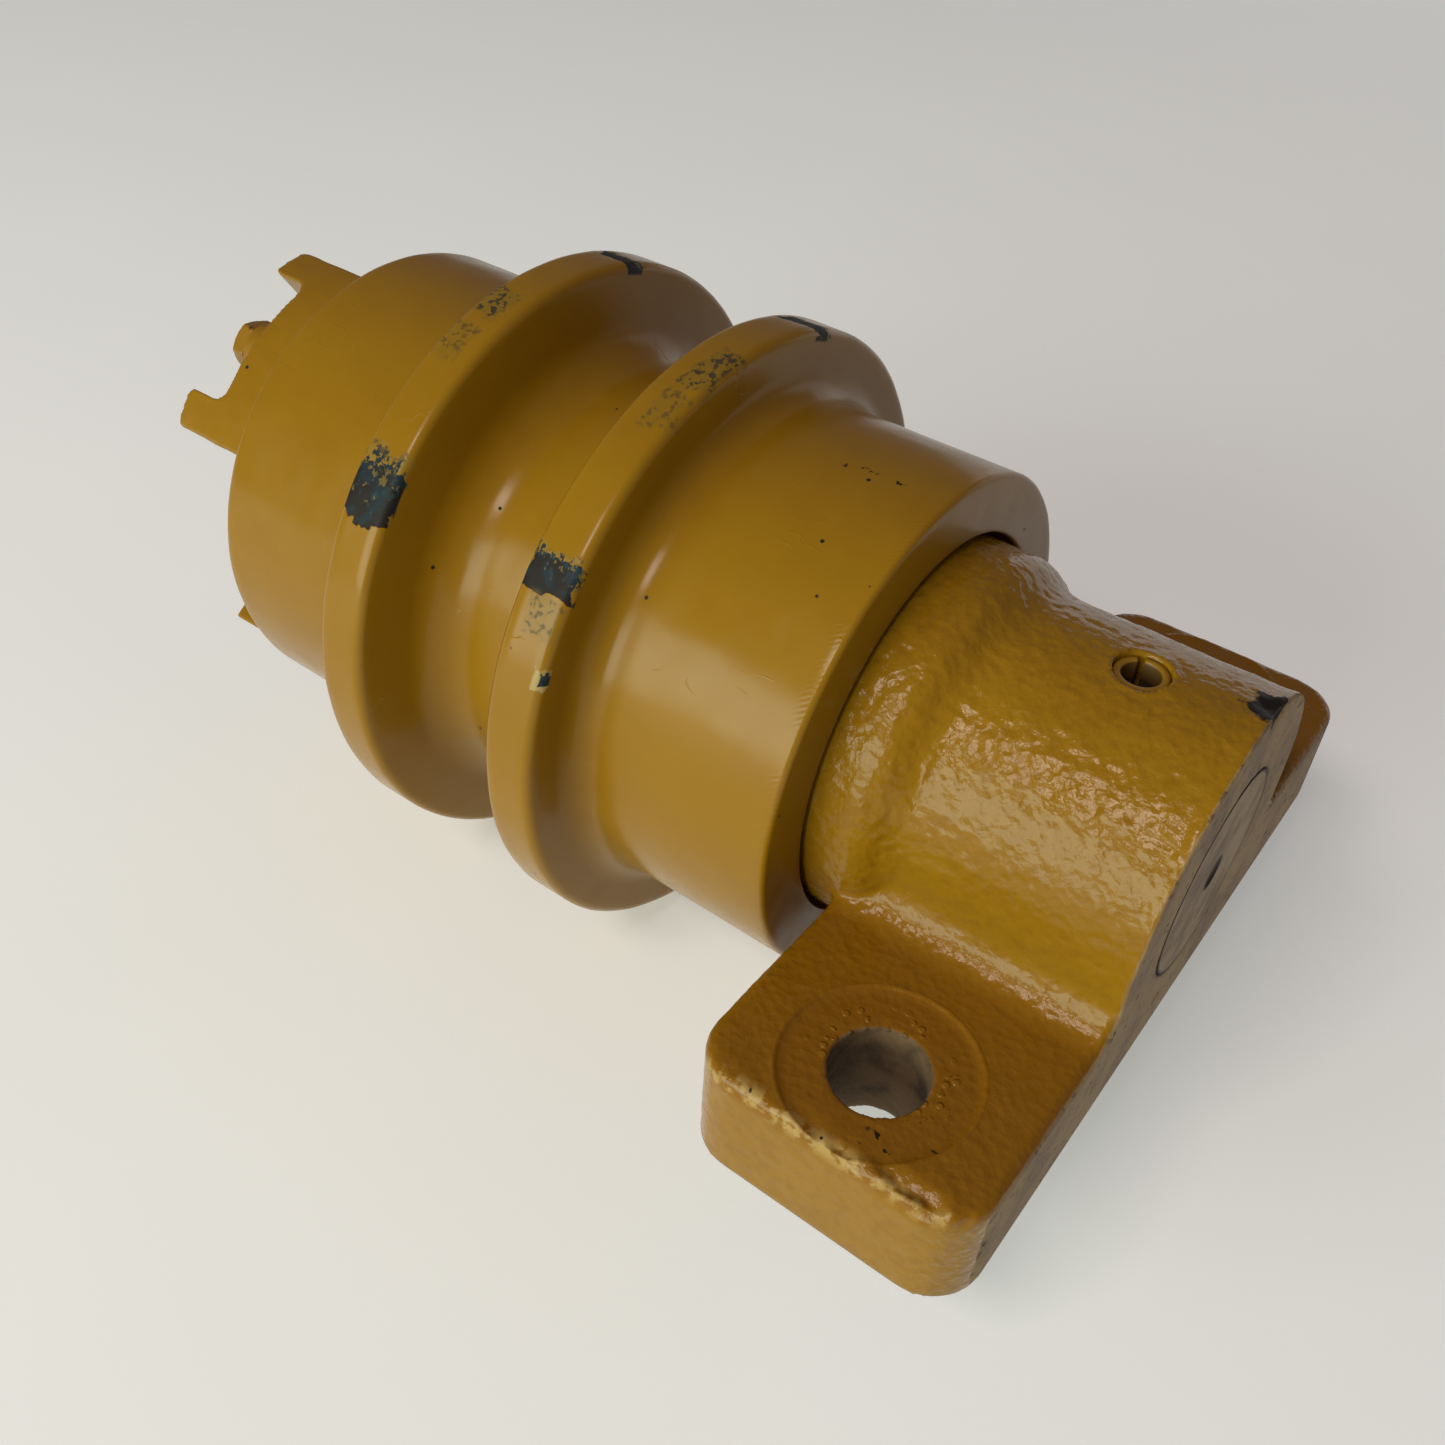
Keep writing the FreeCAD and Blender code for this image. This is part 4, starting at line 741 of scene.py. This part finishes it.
bolt = hexagon_bolt()
bolt_paint = ochre_paint("ochre_paint_bolts", 0.05, 1.2, 0.3, 0.35)
worn_corner = bolt_paint.grain(2.0, 4.0, 3.0).rise(0.60, 0.66)
bolt_paint.lay(worn_corner * 0.8, PRIMER, 0.5)
painted_bolt = bolt_paint.done()
for number, (turn_deg, twist) in enumerate(zip(BOLT_TURNS, HEAD_TWISTS), 1):
    cos, sin = math.cos(math.radians(twist)), math.sin(math.radians(twist))
    twisted = bolt @ np.array([[cos, 0, -sin], [0, 1, 0], [sin, 0, cos]])
    angle_rad = math.radians(turn_deg)
    seat = np.array([BOLT_CIRCLE * math.sin(angle_rad), HEAD_SEAT, BOLT_CIRCLE * math.cos(angle_rad) + AXIS_MM])
    piece = net("cover_bolt_%d" % number, (twisted + seat) * MM)
    piece.data.materials.append(painted_bolt)
    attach(piece, "roller")
    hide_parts("cover_bolts")

# --- The face seal and the rubber rings -------------------------------------
# Two lapped alloy rings run face to face between bracket and shell, each on a
# thick nitrile ring. Two thinner rings seal the shaft and the end cover.
STEEL_GREY, STEEL_DULL = (0.50, 0.50, 0.50), (0.30, 0.29, 0.27)
RUBBER_BLACK, RUBBER_DUSTY = (0.02, 0.02, 0.02), (0.035, 0.035, 0.035)
lapped = Finish("hard_steel", STEEL_GREY, 0.2, 1.0)
lapped.lay(lapped.grain(4.0, 4.0, 2.0).rise(0.5, 0.8) * 0.4, STEEL_DULL, 0.3)
hard_steel = lapped.done()
rubber = Finish("nitrile", RUBBER_BLACK, 0.55)
rubber.lay(rubber.grain(3.0, 4.0, 2.0).rise(0.5, 0.8) * 0.5, RUBBER_DUSTY, 0.65)
dress(["rotating_seal_ring", "stationary_seal_ring"], hard_steel)
dress(["shaft_o_ring", "cover_o_ring", "stationary_toric_ring", "rotating_toric_ring"], rubber.done())

# --- The bushings and the thrust parts --------------------------------------
# Flanged bronze bushings carry the shell, and a bronze washer runs against a
# hardened plate that three zinc-plated screws hold on the shaft's end.
BRONZE, BRONZE_DARK = (0.55, 0.33, 0.14), (0.35, 0.20, 0.09)
ZINC, ZINC_DULL = (0.55, 0.56, 0.58), (0.35, 0.33, 0.28)
bronze = Finish("bronze", BRONZE, 0.35, 1.0)
bronze.lay(bronze.grain(5.0, 4.0, 2.0).rise(0.5, 0.8) * 0.5, BRONZE_DARK, 0.45)
plated = Finish("zinc_steel", ZINC, 0.4, 0.9)
plated.lay(plated.grain(3.0, 4.0, 2.0).rise(0.5, 0.8), ZINC_DULL, 0.5)
dress(["inner_bushing", "outer_bushing", "thrust_washer"], bronze.done())
dress(["thrust_plate"], hard_steel)
dress(["thrust_plate_bolts", "thrust_plate_lock_washers", "fill_plug_washer"], plated.done())
